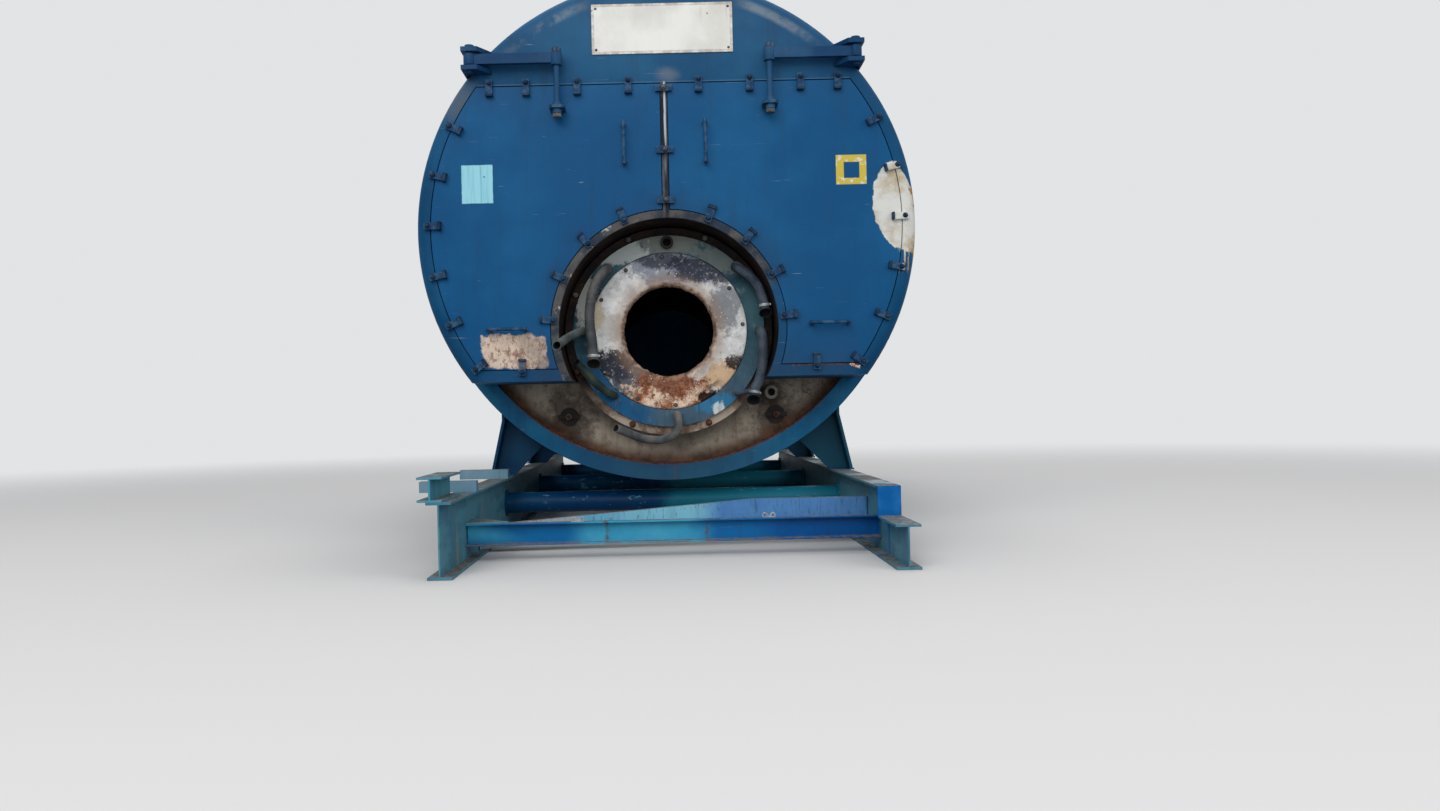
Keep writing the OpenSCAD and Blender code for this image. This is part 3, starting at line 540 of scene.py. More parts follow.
def tube_sheet_material():
    """Dusty scaled plate: cream and grey with soot near the furnace, painted shade towards both sides and
    rust round its foot.
    """
    g = Surface("tube_sheet_scale")
    g.color = g.mix(g.spots(0.36, 0.6, 3.0, 9, 0.7), (134, 124, 112), (200, 186, 166))
    g.coat(g.spots(0.5, 0.62, 15, 9, 0.75), (96, 84, 74), 0.45)
    streaks = g.spots(0.5, 0.68, (24, 24, 1.8, 1.0), 7, 0.65)
    g.coat(streaks, (114, 86, 66), 0.36)
    scratch = g.noise((30, 30, 30, 5.0), 4, 0.6, 2.5)
    high_right = g.ease(g.x, 0.55, 0.75) * g.ease(g.z, AXIS_Z - 0.95, AXIS_Z - 0.85)
    g.coat(g.ease(scratch, 0.56, 0.62) * high_right, (58, 54, 50), 0.7)
    stray = g.noise(9, 9, 0.75)
    for cx, dz, r in ((-0.553, -0.45, 0.15), (0.574, -0.465, 0.14), (0.541, -0.33, 0.07)):
        g.coat(g.cloud(cx, FURNACE_Z + dz, r, r * 1.2, stray, 0.35), (60, 48, 42), 0.75)
    soot = g.ease(g.radius(FURNACE_Z), 0.64, 0.54) * g.spots(0.3, 0.6, 6, 7, 0.65)
    g.coat(soot, (66, 50, 42), 0.55)
    # Greyer and darker towards both sides: painted shade in the corners below the chord and beside the
    # ring.
    corner = g.ease(abs(g.x), 0.58, 0.95) * g.spots(0.32, 0.55, 5, 7, 0.65)
    g.coat(corner, (88, 86, 84), 0.6)
    reach = g.radius(AXIS_Z) + g.stray(0.09, 6, 9, 0.72)
    rust = g.mix(g.spots(0.4, 0.62, 9, 8, 0.7), (58, 38, 28), (110, 72, 52))
    g.coat(g.ease(reach, 1.12, 1.196), rust, 0.92)
    height = g.noise(24, 8, 0.7) + g.noise(110, 4, 0.6) * 0.3
    return g.finish(0.75 + g.noise(30, 3) * 0.2, height, 0.6, 0.003, specular=0.1)


# Burns, stains and a band of painted shade on the refractory, from the furnace centre: X, Z, half sizes,
# colour, amount
BURNS_AND_SHADE = (
    # First row: a wide grey-blue band over the top, painted shade inside the arch.
    (0.060, 0.350, 0.370, 0.120, (128, 136, 152), 0.85),
    (0.200, 0.325, 0.230, 0.085, (42, 48, 64), 0.90),
    (-0.020, 0.370, 0.140, 0.050, (44, 50, 64), 0.80),
    (0.300, 0.120, 0.100, 0.150, (118, 122, 128), 0.80),
    (-0.300, 0.030, 0.090, 0.090, (176, 174, 168), 0.60),
    (-0.375, 0.090, 0.040, 0.110, (206, 184, 140), 0.55),
    (-0.290, -0.175, 0.150, 0.115, (30, 34, 48), 0.97),
    (-0.190, -0.255, 0.120, 0.090, (60, 62, 74), 0.90),
    (-0.215, -0.340, 0.060, 0.045, (42, 38, 40), 0.85),
    (0.310, -0.235, 0.150, 0.085, (208, 168, 122), 0.85),
    (0.345, -0.175, 0.060, 0.050, (50, 34, 28), 0.95),
)


def refractory_material():
    """Cast refractory: white, burnt blue-black in clouds, painted shade over the top and deep in the
    throat, rust brown below.
    """
    g = Surface("burnt_refractory")
    g.color = g.mix(g.spots(0.36, 0.62, 8, 9, 0.7), (244, 243, 240), (196, 195, 194))
    strays = [g.noise(scale, 10, 0.78) for scale in (11, 14, 17)]
    for i, (bx, bz, rx, rz, tone, amount) in enumerate(BURNS_AND_SHADE):
        spot = g.cloud(bx, FURNACE_Z + bz, rx, rz, strays[i % 3])
        g.coat(spot, tone, amount)
    grain = g.spots(0.54, 0.66, 30, 9, 0.75)
    g.coat(grain, (124, 120, 120), 0.5)
    pale = g.spots(0.56, 0.64, 42, 8, 0.75)
    g.coat(pale, (226, 228, 230), 0.4)
    wob = g.stray(0.05, 14, 7, 0.65)
    throat = g.radius(FURNACE_Z) + wob
    halo = g.ease(throat, THROAT_R + 0.095, THROAT_R + 0.03)
    g.coat(halo, (150, 120, 94), 0.5)
    rusty = g.mix(g.spots(0.42, 0.58, 15, 11, 0.82), (138, 78, 48), (232, 208, 182))
    rusty = g.mix(g.spots(0.56, 0.64, 33, 8, 0.75), rusty, (92, 48, 30))
    low = g.cloud(0.015, FURNACE_Z - 0.340, 0.270, 0.135, strays[1], 0.10)
    g.coat(low, rusty)
    solid = g.cloud(0.010, FURNACE_Z - 0.275, 0.200, 0.070, strays[0], 0.12)
    dark_rust = g.mix(g.spots(0.4, 0.65, 30, 8, 0.7), (98, 52, 34), (144, 86, 58))
    g.coat(solid, dark_rust, 0.85)
    # Dark brown in the bitten lower right edge: broken refractory with painted shade in its recess.
    bite = g.cloud(0.225, FURNACE_Z - 0.355, 0.090, 0.050, strays[2], 0.05)
    g.coat(bite, (62, 38, 30))
    specks = g.ease(g.node("TexVoronoi", {0: g.pos, "Scale": 46.0}, "Distance"), 0.16, 0.1)
    g.coat(specks * g.spots(0.5, 0.6, 5, 2), (240, 240, 238))
    lip = g.ease(throat, THROAT_R + 0.03, THROAT_R + 0.008)
    lip_color = g.mix(g.spots(0.42, 0.6, 26, 9, 0.75), (84, 52, 40), (180, 148, 122))
    g.coat(lip, lip_color, 0.85)
    # Near-black deeper in the throat: soot with painted shade of the deep bore.
    g.coat(g.ease(g.y, THROAT_Y + 0.03, THROAT_Y + 0.1), (10, 7, 7))
    height = g.noise(11, 8, 0.7) * 1.4 + g.noise(60, 6, 0.65) * 0.4 + specks * 0.3
    return g.finish(0.88, height, 0.9, 0.006, specular=0.1)


def burner_ring_material():
    """Dark teal ring, dusty scale above and on the left, blue below."""
    g = Surface("burner_ring_worn")
    z = g.z - FURNACE_Z
    g.color = g.mix(g.spots(0.4, 0.62, 4.0, 8, 0.7), (20, 54, 68), (54, 88, 98))
    low = g.ease(z, -0.06, -0.3) * g.spots(0.24, 0.45, 5, 6)
    blue = g.mix(g.ease(g.x, -0.16, -0.04), (16, 82, 124), (66, 92, 110))
    g.coat(low, blue)
    stray = g.noise(13, 10, 0.76)
    for cx, cz, rx, rz, tone, amount in ((0.0, 0.46, 0.24, 0.085, (122, 124, 118), 0.8),
            (0.3, 0.37, 0.19, 0.085, (104, 112, 110), 0.8),
            (-0.245, 0.415, 0.165, 0.08, (176, 182, 180), 0.85),
            (-0.43, 0.18, 0.06, 0.17, (170, 172, 164), 0.8),
            (0.25, -0.385, 0.13, 0.06, (44, 116, 156), 0.9),
            (0.25, -0.415, 0.035, 0.05, (206, 216, 214), 0.9)):
        spot = g.cloud(cx, FURNACE_Z + cz, rx, rz, stray)
        g.coat(spot, tone, amount)
    streaks = g.spots(0.52, 0.66, (44, 44, 3.5, 2.0), 7, 0.7) * g.ease(z, 0.1, -0.3)
    g.coat(streaks, (30, 38, 48), 0.45)
    wear = g.spots(0.57, 0.63, 16, 9, 0.75)
    g.coat(wear, (112, 122, 124), 0.4)
    g.coat(g.spots(0.66, 0.7, 21, 8, 0.7), rust_color(g))
    rough = 0.45 + g.noise(18, 5) * 0.3
    return g.finish(rough, g.noise(30, 7, 0.65), 0.4, 0.003, specular=0.15)


def flange_material():
    """Brown flange painted near-black for soot and for the shade inside the arch, cream and rusty at its
    foot.
    """
    g = Surface("flange_soot_and_shade")
    # Near-black base: soot with painted shade inside the arch.
    g.color = g.mix(g.spots(0.42, 0.66, 8, 7, 0.65), (15, 12, 12), (50, 36, 30))
    low = g.ease(g.z, FURNACE_Z - 0.24, FURNACE_Z - 0.46)
    cream = g.mix(g.spots(0.4, 0.62, 9, 7, 0.65), (96, 76, 64), (168, 152, 136))
    g.coat(low, cream)
    rusty = g.spots(0.58, 0.68, 17, 8, 0.7) * g.ease(g.z, FURNACE_Z + 0.1, FURNACE_Z - 0.2)
    g.coat(rusty, rust_color(g))
    height = g.noise(40, 7, 0.7) + g.noise(150, 3) * 0.3
    return g.finish(0.7 + g.noise(24, 4) * 0.2, height, 0.5, 0.002, specular=0.25)


def scale_material(name, dark, light, rust_amount=0.5, rough=0.75):
    """Bare or scaled steel with rust blooms."""
    g = Surface(name)
    g.color = g.mix(g.spots(0.38, 0.62, 8, 7, 0.65), dark, light)
    blooms = g.spots(0.66 - 0.3 * rust_amount, 0.74 - 0.3 * rust_amount, 17, 8, 0.7)
    g.coat(blooms, rust_color(g))
    height = g.noise(40, 7, 0.7) + g.noise(150, 3) * 0.3
    roughness = rough - 0.1 + g.noise(24, 4) * 0.2
    return g.finish(roughness, height, 0.5, 0.002, metallic=0.25)


def plain_dark(name, color, rough=0.9):
    """Near-black with a faint mottle: soot, painted shade inside bores and holes, and old grease."""
    g = Surface(name)
    g.color = g.mix(g.spots(0.35, 0.7, 6, 5), color, (*(c * 1.8 for c in color[:3]), 1))
    return g.finish(rough, g.noise(60, 5), 0.4, 0.002, specular=0.2)


def sealant_material():
    """Crumbled white and orange sealant."""
    g = Surface("old_sealant")
    g.color = g.mix(g.spots(0.42, 0.58, 60, 6, 0.7), (222, 214, 200), (190, 128, 72))
    return g.finish(0.85, g.noise(120, 5), 0.6, 0.002, specular=0.2)


def sign_material():
    """Bare white enamelled plate with dirt at its edges."""
    g = Surface("bare_white_plate")
    lo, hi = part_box("sign_plate")
    cx, cz = (lo.x + hi.x) / 2, (lo.z + hi.z) / 2
    ax = (hi.x - lo.x) / 2 - abs(g.x - cx)
    az = (hi.z - lo.z) / 2 - abs(g.z - cz)
    near = g.math("MINIMUM", ax, az)
    g.color = g.mix(g.spots(0.35, 0.7, 5, 6), (226, 224, 218), (206, 204, 196))
    edge = g.ease(near, 0.02, 0.004) * g.spots(0.35, 0.6, 20, 6, 0.7)
    g.coat(edge, (140, 120, 96), 0.6)
    runs = g.spots(0.6, 0.75, (30, 30, 2.5, 6.0), 5, 0.6)
    g.coat(runs, (130, 122, 108), 0.25)
    chip = g.spots(0.7, 0.72, 16, 8, 0.7)
    g.coat(chip, RUST)
    border = g.ease(near, 0.009, 0.01) * g.ease(near, 0.013, 0.012)
    g.coat(border, (90, 90, 90), 0.35)
    return g.finish(0.35, g.noise(4, 3), 0.2, 0.002, specular=0.4)


MATS["sheet"] = tube_sheet_material()
MATS["refractory"] = refractory_material()
MATS["burner_ring"] = burner_ring_material()
MATS["flange"] = flange_material()
MATS["steel"] = scale_material("bare_steel", (84, 82, 80), (128, 124, 118), 0.35, 0.55)
MATS["clip"] = scale_material("clip_steel", (104, 106, 108), (168, 170, 170), 0.15, 0.45)
MATS["bolt"] = scale_material("bolt_steel", (46, 46, 48), (88, 86, 84), 0.35, 0.55)
MATS["rusty_bolt"] = scale_material("rusty_bolt", (72, 50, 38), (112, 84, 66), 0.9, 0.8)
MATS["soot"] = plain_dark("soot_and_bore_shade", srgb(12, 11, 12))
MATS["dark_cap"] = plain_dark("dark_cover", srgb(32, 28, 28), 0.7)
MATS["sealant"] = sealant_material()
MATS["sign"] = sign_material()

# Nodes of each material; the legs are the rest
NODES_OF = {
    "steel": "pressure_shell front_nipple",
    "jacket": "jacket rear_smokebox rear_cover steam_nozzle manway manway_cover safety_nozzle flue_outlet",
    "ring": "front_ring rear_ring",
    "sheet": "front_tube_sheet rear_tube_sheet",
    "soot": "furnace_tube",
    "flange": "burner_flange",
    "burner_ring": "burner_ring",
    "refractory": "throat_refractory",
    "rim": "smokebox_wrapper smokebox_frame",
    "sign": "sign_plate",
    "davit": "left_davit_bracket right_davit_bracket left_davit_arm right_davit_arm left_hanger_rod "
        "right_hanger_rod front_lifting_lug rear_lifting_lug",
    "door": "left_leaf right_leaf",
    "grey_pipe": "upper_left_pipe lower_middle_pipe",
    "branch_pipe": "left_branch_pipe",
    "green_pipe": "lower_left_pipe",
    "pipe": "upper_right_pipe lower_right_pipe",
    "dark_cap": "left_handhole right_handhole",
    "beam": "left_beam right_beam",
    "channel": "front_channel",
    "bent": "bent_channel",
    "cross": "front_cross_pipe middle_cross_pipe rear_cross_pipe",
    "stub": "stub_beam",
    "outrigger": "front_outrigger_bar rear_outrigger_bar",
}
MAT_OF = {name: mat for mat, names in NODES_OF.items() for name in names.split()}
for name, node in NODES.items():
    node.data.materials.clear()
    node.data.materials.append(MATS[MAT_OF.get(name, "leg")])


def soften(node, width):
    """Small rounded edges on a CAD node, by modifiers only."""
    weld = node.modifiers.new("weld", "WELD")
    weld.merge_threshold = 0.00005
    bevel = node.modifiers.new("bevel", "BEVEL")
    bevel.width = width
    bevel.segments = 2
    bevel.limit_method = "ANGLE"
    bevel.angle_limit = math.radians(35.0)
    bevel.use_clamp_overlap = True
    bevel.harden_normals = False


def lifted(axis):
    """Rotation that takes the Z axis to axis."""
    return Vector(UP).rotation_difference(Vector(axis)).to_matrix().to_4x4()


class Build:
    """Collects parts of one piece and makes it an object on a body."""

    def __init__(self, name, mat, body=ROOT, smooth=35.0):
        self.name, self.mat, self.body, self.smooth = name, mat, body, smooth
        self.bm = bmesh.new()

    def place(self, verts, matrix):
        for v in verts:
            v.co = matrix @ v.co

    def box(self, lo, hi, bevel=0.0, matrix=Matrix.Identity(4)):
        lo, hi = Vector(lo), Vector(hi)
        made = bmesh.ops.create_cube(self.bm, size=1.0)["verts"]
        self.place(made, matrix @ Matrix.Translation((lo + hi) / 2) @ Matrix.Diagonal((*(hi - lo), 1)))
        if bevel:
            edges = list({e for v in made for e in v.link_edges})
            bmesh.ops.bevel(self.bm, geom=edges, offset=bevel, segments=2, affect="EDGES", profile=0.5)

    def join(self, a, b):
        """Faces between two closed rings of points."""
        for k in range(len(a)):
            j = (k + 1) % len(a)
            self.bm.faces.new([a[k], a[j], b[j], b[k]])

    def spun(self, profile, origin, axis, segments, wobble=None):
        """Revolves (radius, height) points about axis from origin."""
        matrix = Matrix.Translation(Vector(origin)) @ lifted(axis)
        rings = []
        for i in range(segments):
            a = math.radians(360.0 * i / segments)
            ring = []
            for k, (r, h) in enumerate(profile):
                if wobble:
                    r, h = wobble(a, k, r, h)
                ring.append(self.bm.verts.new(matrix @ Vector((r * math.cos(a), r * math.sin(a), h))))
            rings.append(ring)
        for a, b in zip(rings, rings[1:] + rings[:1]):
            for k in range(len(profile) - 1):
                quad = [a[k], a[k + 1], b[k + 1], b[k]]
                if (quad[0].co - quad[3].co).length < 1e-07:
                    quad.pop(3)
                elif (quad[1].co - quad[2].co).length < 1e-07:
                    quad.pop(2)
                if len(quad) >= 3:
                    self.bm.faces.new(quad)

    def prism(self, center, axis, radius, height, turn=0.0):
        """Nut or bolt head whose base is at center and that rises along axis."""
        matrix = Matrix.Translation(Vector(center)) @ lifted(axis) @ Matrix.Rotation(turn, 4, "Z")
        corners = [(math.cos(2 * math.pi * i / 6), math.sin(2 * math.pi * i / 6)) for i in range(6)]
        levels = [(radius, 0.0), (radius, height * 0.88), (radius * 0.88, height)]
        rings = [[self.bm.verts.new(matrix @ Vector((r * c, r * s, h))) for c, s in corners]
                 for r, h in levels]
        for a, b in zip(rings, rings[1:]):
            self.join(a, b)
        self.bm.faces.new(rings[-1])
        self.bm.faces.new(list(reversed(rings[0])))

    def rod(self, center, axis, radius, height, segments=16, round_end=0.15):
        """Solid round bar with a chamfered top."""
        c = radius * round_end
        self.spun([(0, 0), (radius, 0), (radius, height - c), (radius - c, height), (0, height)],
                  center, axis, segments)

    def bolt(self, center, axis, size, turn, length):
        """Washer, nut and stud end of that thread diameter, standing on center."""
        axis = Vector(axis).normalized()
        self.rod(center, axis, size * 1.1, size * 0.18, 20, 0.3)
        base = Vector(center) + axis * size * 0.18
        self.prism(base, axis, size * 0.92, size * 0.75, turn)
        self.rod(base + axis * size * 0.75, axis, size * 0.5, length, 14, 0.2)

    def sweep(self, points, radius, segments=16, caps=True, wobble=0.0, seed=0.0):
        """Tube along points; radius is a number or one for each point."""
        pts = [Vector(p) for p in points]
        radii = radius if isinstance(radius, (list, tuple)) else [radius] * len(pts)
        ahead = (pts[1] - pts[0]).normalized()
        side = ahead.orthogonal().normalized()
        rings = []
        for i, p in enumerate(pts):
            nxt = pts[min(i + 1, len(pts) - 1)]
            prv = pts[max(i - 1, 0)]
            t = (nxt - prv).normalized()
            side = (side - t * side.dot(t)).normalized()
            up = t.cross(side)
            ring = []
            for k in range(segments):
                a = 2 * math.pi * k / segments
                rad = radii[i]
                if wobble:
                    spot = Vector((p.x * 60 + seed, p.z * 60 + k * 0.9, p.y * 60))
                    rad *= 1 + wobble * noise.noise(spot)
                ring.append(self.bm.verts.new(p + (side * math.cos(a) + up * math.sin(a)) * rad))
            rings.append(ring)
        for a, b in zip(rings, rings[1:]):
            self.join(a, b)
        if caps:
            self.bm.faces.new(list(reversed(rings[0])))
            self.bm.faces.new(rings[-1])
        return rings

    def grid(self, rows):
        """Faces between equal rows of points."""
        made = [[self.bm.verts.new(p) for p in row] for row in rows]
        for a, b in zip(made, made[1:]):
            for i in range(len(a) - 1):
                self.bm.faces.new([a[i], a[i + 1], b[i + 1], b[i]])

    def done(self):
        """Object of the collected parts, riding on its body."""
        bmesh.ops.recalc_face_normals(self.bm, faces=self.bm.faces)
        mesh = bpy.data.meshes.new(self.name)
        self.bm.to_mesh(mesh)
        self.bm.free()
        obj = bpy.data.objects.new(self.name, mesh)
        bpy.context.scene.collection.objects.link(obj)
        mesh.materials.append(MATS[self.mat] if isinstance(self.mat, str) else self.mat)
        for f in mesh.polygons:
            f.use_smooth = True
        mesh.set_sharp_from_angle(angle=math.radians(self.smooth))
        if self.body:
            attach(obj, self.body)
        return obj


def smooth_path(points, steps):
    """Catmull-Rom curve through points."""
    pts = [Vector(p) for p in points]
    pts = [pts[0] * 2 - pts[1]] + pts + [pts[-1] * 2 - pts[-2]]
    out = []
    for i in range(1, len(pts) - 2):
        p0, p1, p2, p3 = pts[i - 1], pts[i], pts[i + 1], pts[i + 2]
        for s in range(steps):
            t = s / steps
            out.append(0.5 * ((2 * p1) + (p2 - p0) * t + (2 * p0 - 5 * p1 + 4 * p2 - p3) * t * t
                              + (3 * p1 - p0 - 3 * p2 + p3) * t ** 3))
    out.append(pts[-2])
    return out


def circle_points(cx, cz, r, y, a0, a1, count):
    """Points on an arc in the plane at y, angles from +X towards +Z in degrees."""
    out = []
    for i in range(count + 1):
        a = math.radians(a0 + (a1 - a0) * i / count)
        out.append(Vector((cx + r * math.cos(a), y, cz + r * math.sin(a))))
    return out


def at(x, yf, z):
    """Point from millimetres, with Y counted from the skid's front end."""
    return Vector((x / 1000, FRONT_Y + yf / 1000, z / 1000))


random.seed(11)


# Furnace front
def refractory():
    """Cast face with a rough lip and a bitten lower right edge."""
    b = Build("refractory_face", "refractory", smooth=60)
    face = [(THROAT_R + 0.118, 0.218), (THROAT_R + 0.030, 0.100), (THROAT_R + 0.002, 0.055),
            (THROAT_R + 0.001, 0.030), (THROAT_R + 0.005, 0.012), (THROAT_R + 0.014, 0.004),
            (THROAT_R + 0.026, 0.001)]
    steps = 16
    inner, outer = THROAT_R + 0.026, RING_IN_R - 0.006
    face += [(inner + (outer - inner) * i / steps, 0.0006) for i in range(1, steps + 1)]
    face += [(RING_IN_R - 0.002, 0.006), (RING_IN_R - 0.001, 0.030)]
    count = len(face)

    def rough(a, k, r, h):
        n = noise.fractal(Vector((math.cos(a) * 3.2, math.sin(a) * 3.2, r * 9)), 1.0, 2.0, 5)
        f = noise.noise(Vector((math.cos(a) * 14, math.sin(a) * 14, r * 60)))
        if 2 < k < 8:
            r += 0.007 * n + 0.004 * f
        if 6 < k < count - 1:
            h += 0.003 + 0.0030 * n + 0.0012 * f
            bite = max(0.0, 1 - abs(math.degrees(a) - 57) / 13)
            h += 0.022 * min(1.0, bite * 3) * min(1.0, max(0.0, (r - 0.360 - 0.010 * f) / 0.010))
        return max(r, THROAT_R - 0.004), h

    b.spun(face, (0, THROAT_Y - 0.0015, FURNACE_Z), (0, 1, 0), 216, wobble=rough)
    obj = b.done()
    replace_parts(obj, "throat_refractory")


def anchors():
    """Washers and nuts of the refractory's anchors."""
    b = Build("refractory_anchors", "bolt")
    for k in range(12):
        a = math.radians(30 * k + 4)
        c = Vector((0.387 * math.cos(a), THROAT_Y + 0.002, FURNACE_Z + 0.387 * math.sin(a)))
        b.rod(c, FRONT, 0.011, 0.005, 16, 0.3)
        b.prism(c + Vector((0, -0.004, 0)), FRONT, 0.0075, 0.006, k)
    b.done()


def flange_studs():
    """Studs of the burner flange, the lower ones rusted."""
    for name, mat, which in (("burner_studs", "bolt", range(4)),
            ("rusty_burner_studs", "rusty_bolt", range(4, 8))):
        b = Build(name, mat)
        for k in which:
            a = math.radians(22.5 + 45 * k)
            c = (STUD_R * math.cos(a), FLANGE_Y, FURNACE_Z + STUD_R * math.sin(a))
            b.bolt(c, FRONT, 0.016, k * 0.4, 0.012)
        b.done()


def sight_hole():
    """Raised socket of the sight hole, with a near-black disc inside as painted shade of its bore."""
    b = Build("sight_hole_socket", "dark_cap")
    profile = [(0.022, 0.012), (0.022, 0.030), (0.030, 0.030), (0.033, 0.027), (0.033, -0.002),
               (0.022, -0.002), (0.022, 0.012)]
    b.spun(profile, (0, THROAT_Y, FURNACE_Z + 0.460), FRONT, 28)
    b.done()
    # Near-black disc inside the socket: painted shade of the bore.
    back = Build("sight_hole_dark", "soot")
    back.rod((0, THROAT_Y + 0.030, FURNACE_Z + 0.460), FRONT, 0.0215, 0.012, 24)
    back.done()


refractory()
anchors()
flange_studs()
sight_hole()

# Pipe routes repeat the source's points, with bends between them, in millimetres
PIPES = {"upper_left_pipe": ("grey_pipe", 0.0255, "flare",
        [(-310, 1315, 1400), (-310, 1262, 1400), (-326, 1226, 1380), (-358, 1205, 1335),
        (-386, 1196, 1262), (-400, 1190, 1180), (-401, 1188, 1100), (-392, 1184, 1026),
        (-387, 1180, 950), (-384, 1176, 883)]),
        "left_branch_pipe": ("branch_pipe", 0.0215, "plain",
        [(-440, 1315, 1080), (-440, 1264, 1080), (-449, 1228, 1076), (-474, 1190, 1062),
        (-511, 1130, 1037), (-530, 1030, 1011), (-550, 930, 985)]),
        "lower_left_pipe": ("green_pipe", 0.0215, "plain",
        [(-292, 1315, 746), (-292, 1276, 746), (-308, 1254, 754), (-338, 1246, 774), (-404, 1232, 833),
        (-486, 1222, 926)]), "lower_middle_pipe": ("grey_pipe", 0.0215, "plain",
        [(35, 1315, 636), (35, 1246, 634), (38, 1230, 612), (36, 1223, 566), (8, 1219, 530),
        (-52, 1216, 510), (-110, 1212, 513), (-160, 1208, 524), (-226, 1202, 552), (-293, 1195, 582)]),
        "upper_right_pipe": ("pipe", 0.0235, "flare",
        [(354, 1315, 1398), (354, 1262, 1398), (368, 1238, 1385), (420, 1225, 1342), (458, 1218, 1295),
        (480, 1213, 1240), (492, 1210, 1190), (500, 1210, 1127)]),
        "lower_right_pipe": ("pipe", 0.0245, "flare",
        [(472, 1315, 1066), (472, 1262, 1066), (478, 1238, 1044), (484, 1228, 1000), (483, 1225, 916),
        (470, 1223, 850), (452, 1218, 795), (436, 1215, 763), (422, 1205, 683)])}


def pipe_end(name, mat, radius, kind, pts):
    """Hollow pipe with its open end; a flared end has a socket and a band."""
    body = Build(name + "_body", mat, smooth=50)
    path = smooth_path([at(*p) for p in pts], 7)
    tip, before = path[-1], path[-2]
    ahead = (tip - before).normalized()
    wall = 0.0045 if kind == "flare" else 0.003
    outer = [radius] * len(path)
    if kind == "flare":
        left, flare_l = 0.0, 0.045
        for i in range(len(path) - 1, -1, -1):
            if i < len(path) - 1:
                left += (path[i + 1] - path[i]).length
            if left < flare_l:
                outer[i] = radius + 0.0105 * (1 - left / flare_l) ** 0.6
    rings = body.sweep(path, outer, 28, caps=False, wobble=0.012, seed=radius * 900)
    facing = (Vector((0, -1, 0)) + ahead * ahead.y).normalized()
    spokes = [(v.co - tip).normalized() for v in rings[-1]]
    lip = outer[-1] - wall
    bore = [[body.bm.verts.new(tip - ahead * deep + spoke * wide) for spoke in spokes]
            for deep, wide in ((0.0, lip), (0.004, lip - 0.0005))]
    # Near-black plug inside the open end: painted shade of the bore.
    dark = Build(name + "_bore_shade", "soot")
    dark_bore = [[dark.bm.verts.new(tip - ahead * deep + spoke * wide) for spoke in spokes] for deep,
            wide in ((0.003, lip - 0.0002), (0.02, lip - 0.003), (0.05, radius - wall), (0.09, 0.004))]
    for ring in rings[-14:] + bore + dark_bore[:3]:
        for v in ring:
            over = (v.co - tip).dot(ahead) + 0.62 * ((v.co - tip).dot(facing) + outer[-1])
            if over > 0:
                v.co -= ahead * over
    body.join(rings[-1], bore[0])
    body.join(bore[0], bore[1])
    for a, b in zip(dark_bore, dark_bore[1:]):
        dark.join(a, b)
    dark.bm.faces.new(dark_bore[-1])
    dark.done()
    body.bm.faces.new(list(reversed(rings[0])))
    obj = body.done()
    if kind == "flare":
        clamp = Build(name + "_band", "clip")
        mid = tip - ahead * 0.062
        band = [(radius + 0.0005, -0.007), (radius + 0.005, -0.007), (radius + 0.006, 0),
                (radius + 0.005, 0.007), (radius + 0.0005, 0.007)]
        clamp.spun(band, mid, Vector(ahead), 28)
        across = ahead.cross(Vector((0, 1, 0))).normalized()
        clamp.rod(mid + across * (radius + 0.004) - Vector((0, 0.012, 0)), (0, 1, 0), 0.005, 0.024, 12)
        clamp.done()
    return obj


for pipe_name, (mat, radius, kind, pts) in PIPES.items():
    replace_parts(pipe_end(pipe_name, mat, radius, kind, pts), pipe_name)


def lower_right_branch():
    """Thin branch that joins the lower right pipe."""
    b = Build("lower_right_branch", "pipe", smooth=50)
    route = [(345, 1315, 742), (345, 1262, 742), (356, 1243, 743), (392, 1232, 747), (430, 1222, 752)]
    b.sweep(smooth_path([at(*p) for p in route], 6), 0.0125, 18)
    b.done()


lower_right_branch()


def weld_bead(build, points, radius=0.005, seed=1.0):
    """Uneven bead along points."""
    build.sweep(points, radius, 8, wobble=0.35, seed=seed)


# Doors
def dog_places():
    """Seam point and long direction in degrees of each clamp dog on the right leaf."""
    top, low = SEAM_TOP_Z - AXIS_Z, AXIS_Z - SEAM_BOTTOM_Z
    top_half, low_half = math.sqrt(SEAM_R ** 2 - top ** 2), math.sqrt(SEAM_R ** 2 - low ** 2)
    low_a = -math.degrees(math.asin(low / SEAM_R))
    turn = math.degrees(math.asin(top / SEAM_R)) - low_a
    out = [(share * top_half, SEAM_TOP_Z, 90.0) for share in (0.187, 0.459, 0.731, 0.928)]
    for k in range(6):
        a = low_a + (0.01 + k / 6) * turn
        t = math.radians(a)
        out.append((SEAM_R * math.cos(t), AXIS_Z + SEAM_R * math.sin(t), a))
    out.append((0.774 * low_half, SEAM_BOTTOM_Z, -90.0))
    for k in range(1, 5):
        t = math.radians(21.3 * k)
        out.append((SEAM_ARCH_R * math.sin(t), FURNACE_Z + SEAM_ARCH_R * math.cos(t), -90 - 21.3 * k))
    return out


def dog_details():
    """Nut and stud at the frame end of each dog and a thick toe at its leaf end."""
    for side, sign, body in SIDES:
        nuts = Build(side + "_dog_nuts", "dog", body)
        toes = Build(side + "_dog_toes", "dog", body)
        for x, z, a in dog_places():
            t = math.radians(a if sign > 0 else 180 - a)
            turn = Matrix.Rotation(-t, 4, "Y")
            place = Matrix.Translation((sign * x, DOOR_Y, z)) @ turn
            toes.box((-0.056, -0.030, -0.019), (-0.043, -0.002, 0.019), 0.003, place)
            nuts.bolt(place @ Vector((0.010, DOG_FACE, 0)), FRONT, 0.012, random.random(), 0.010)
        nuts.done()
        toes.done()


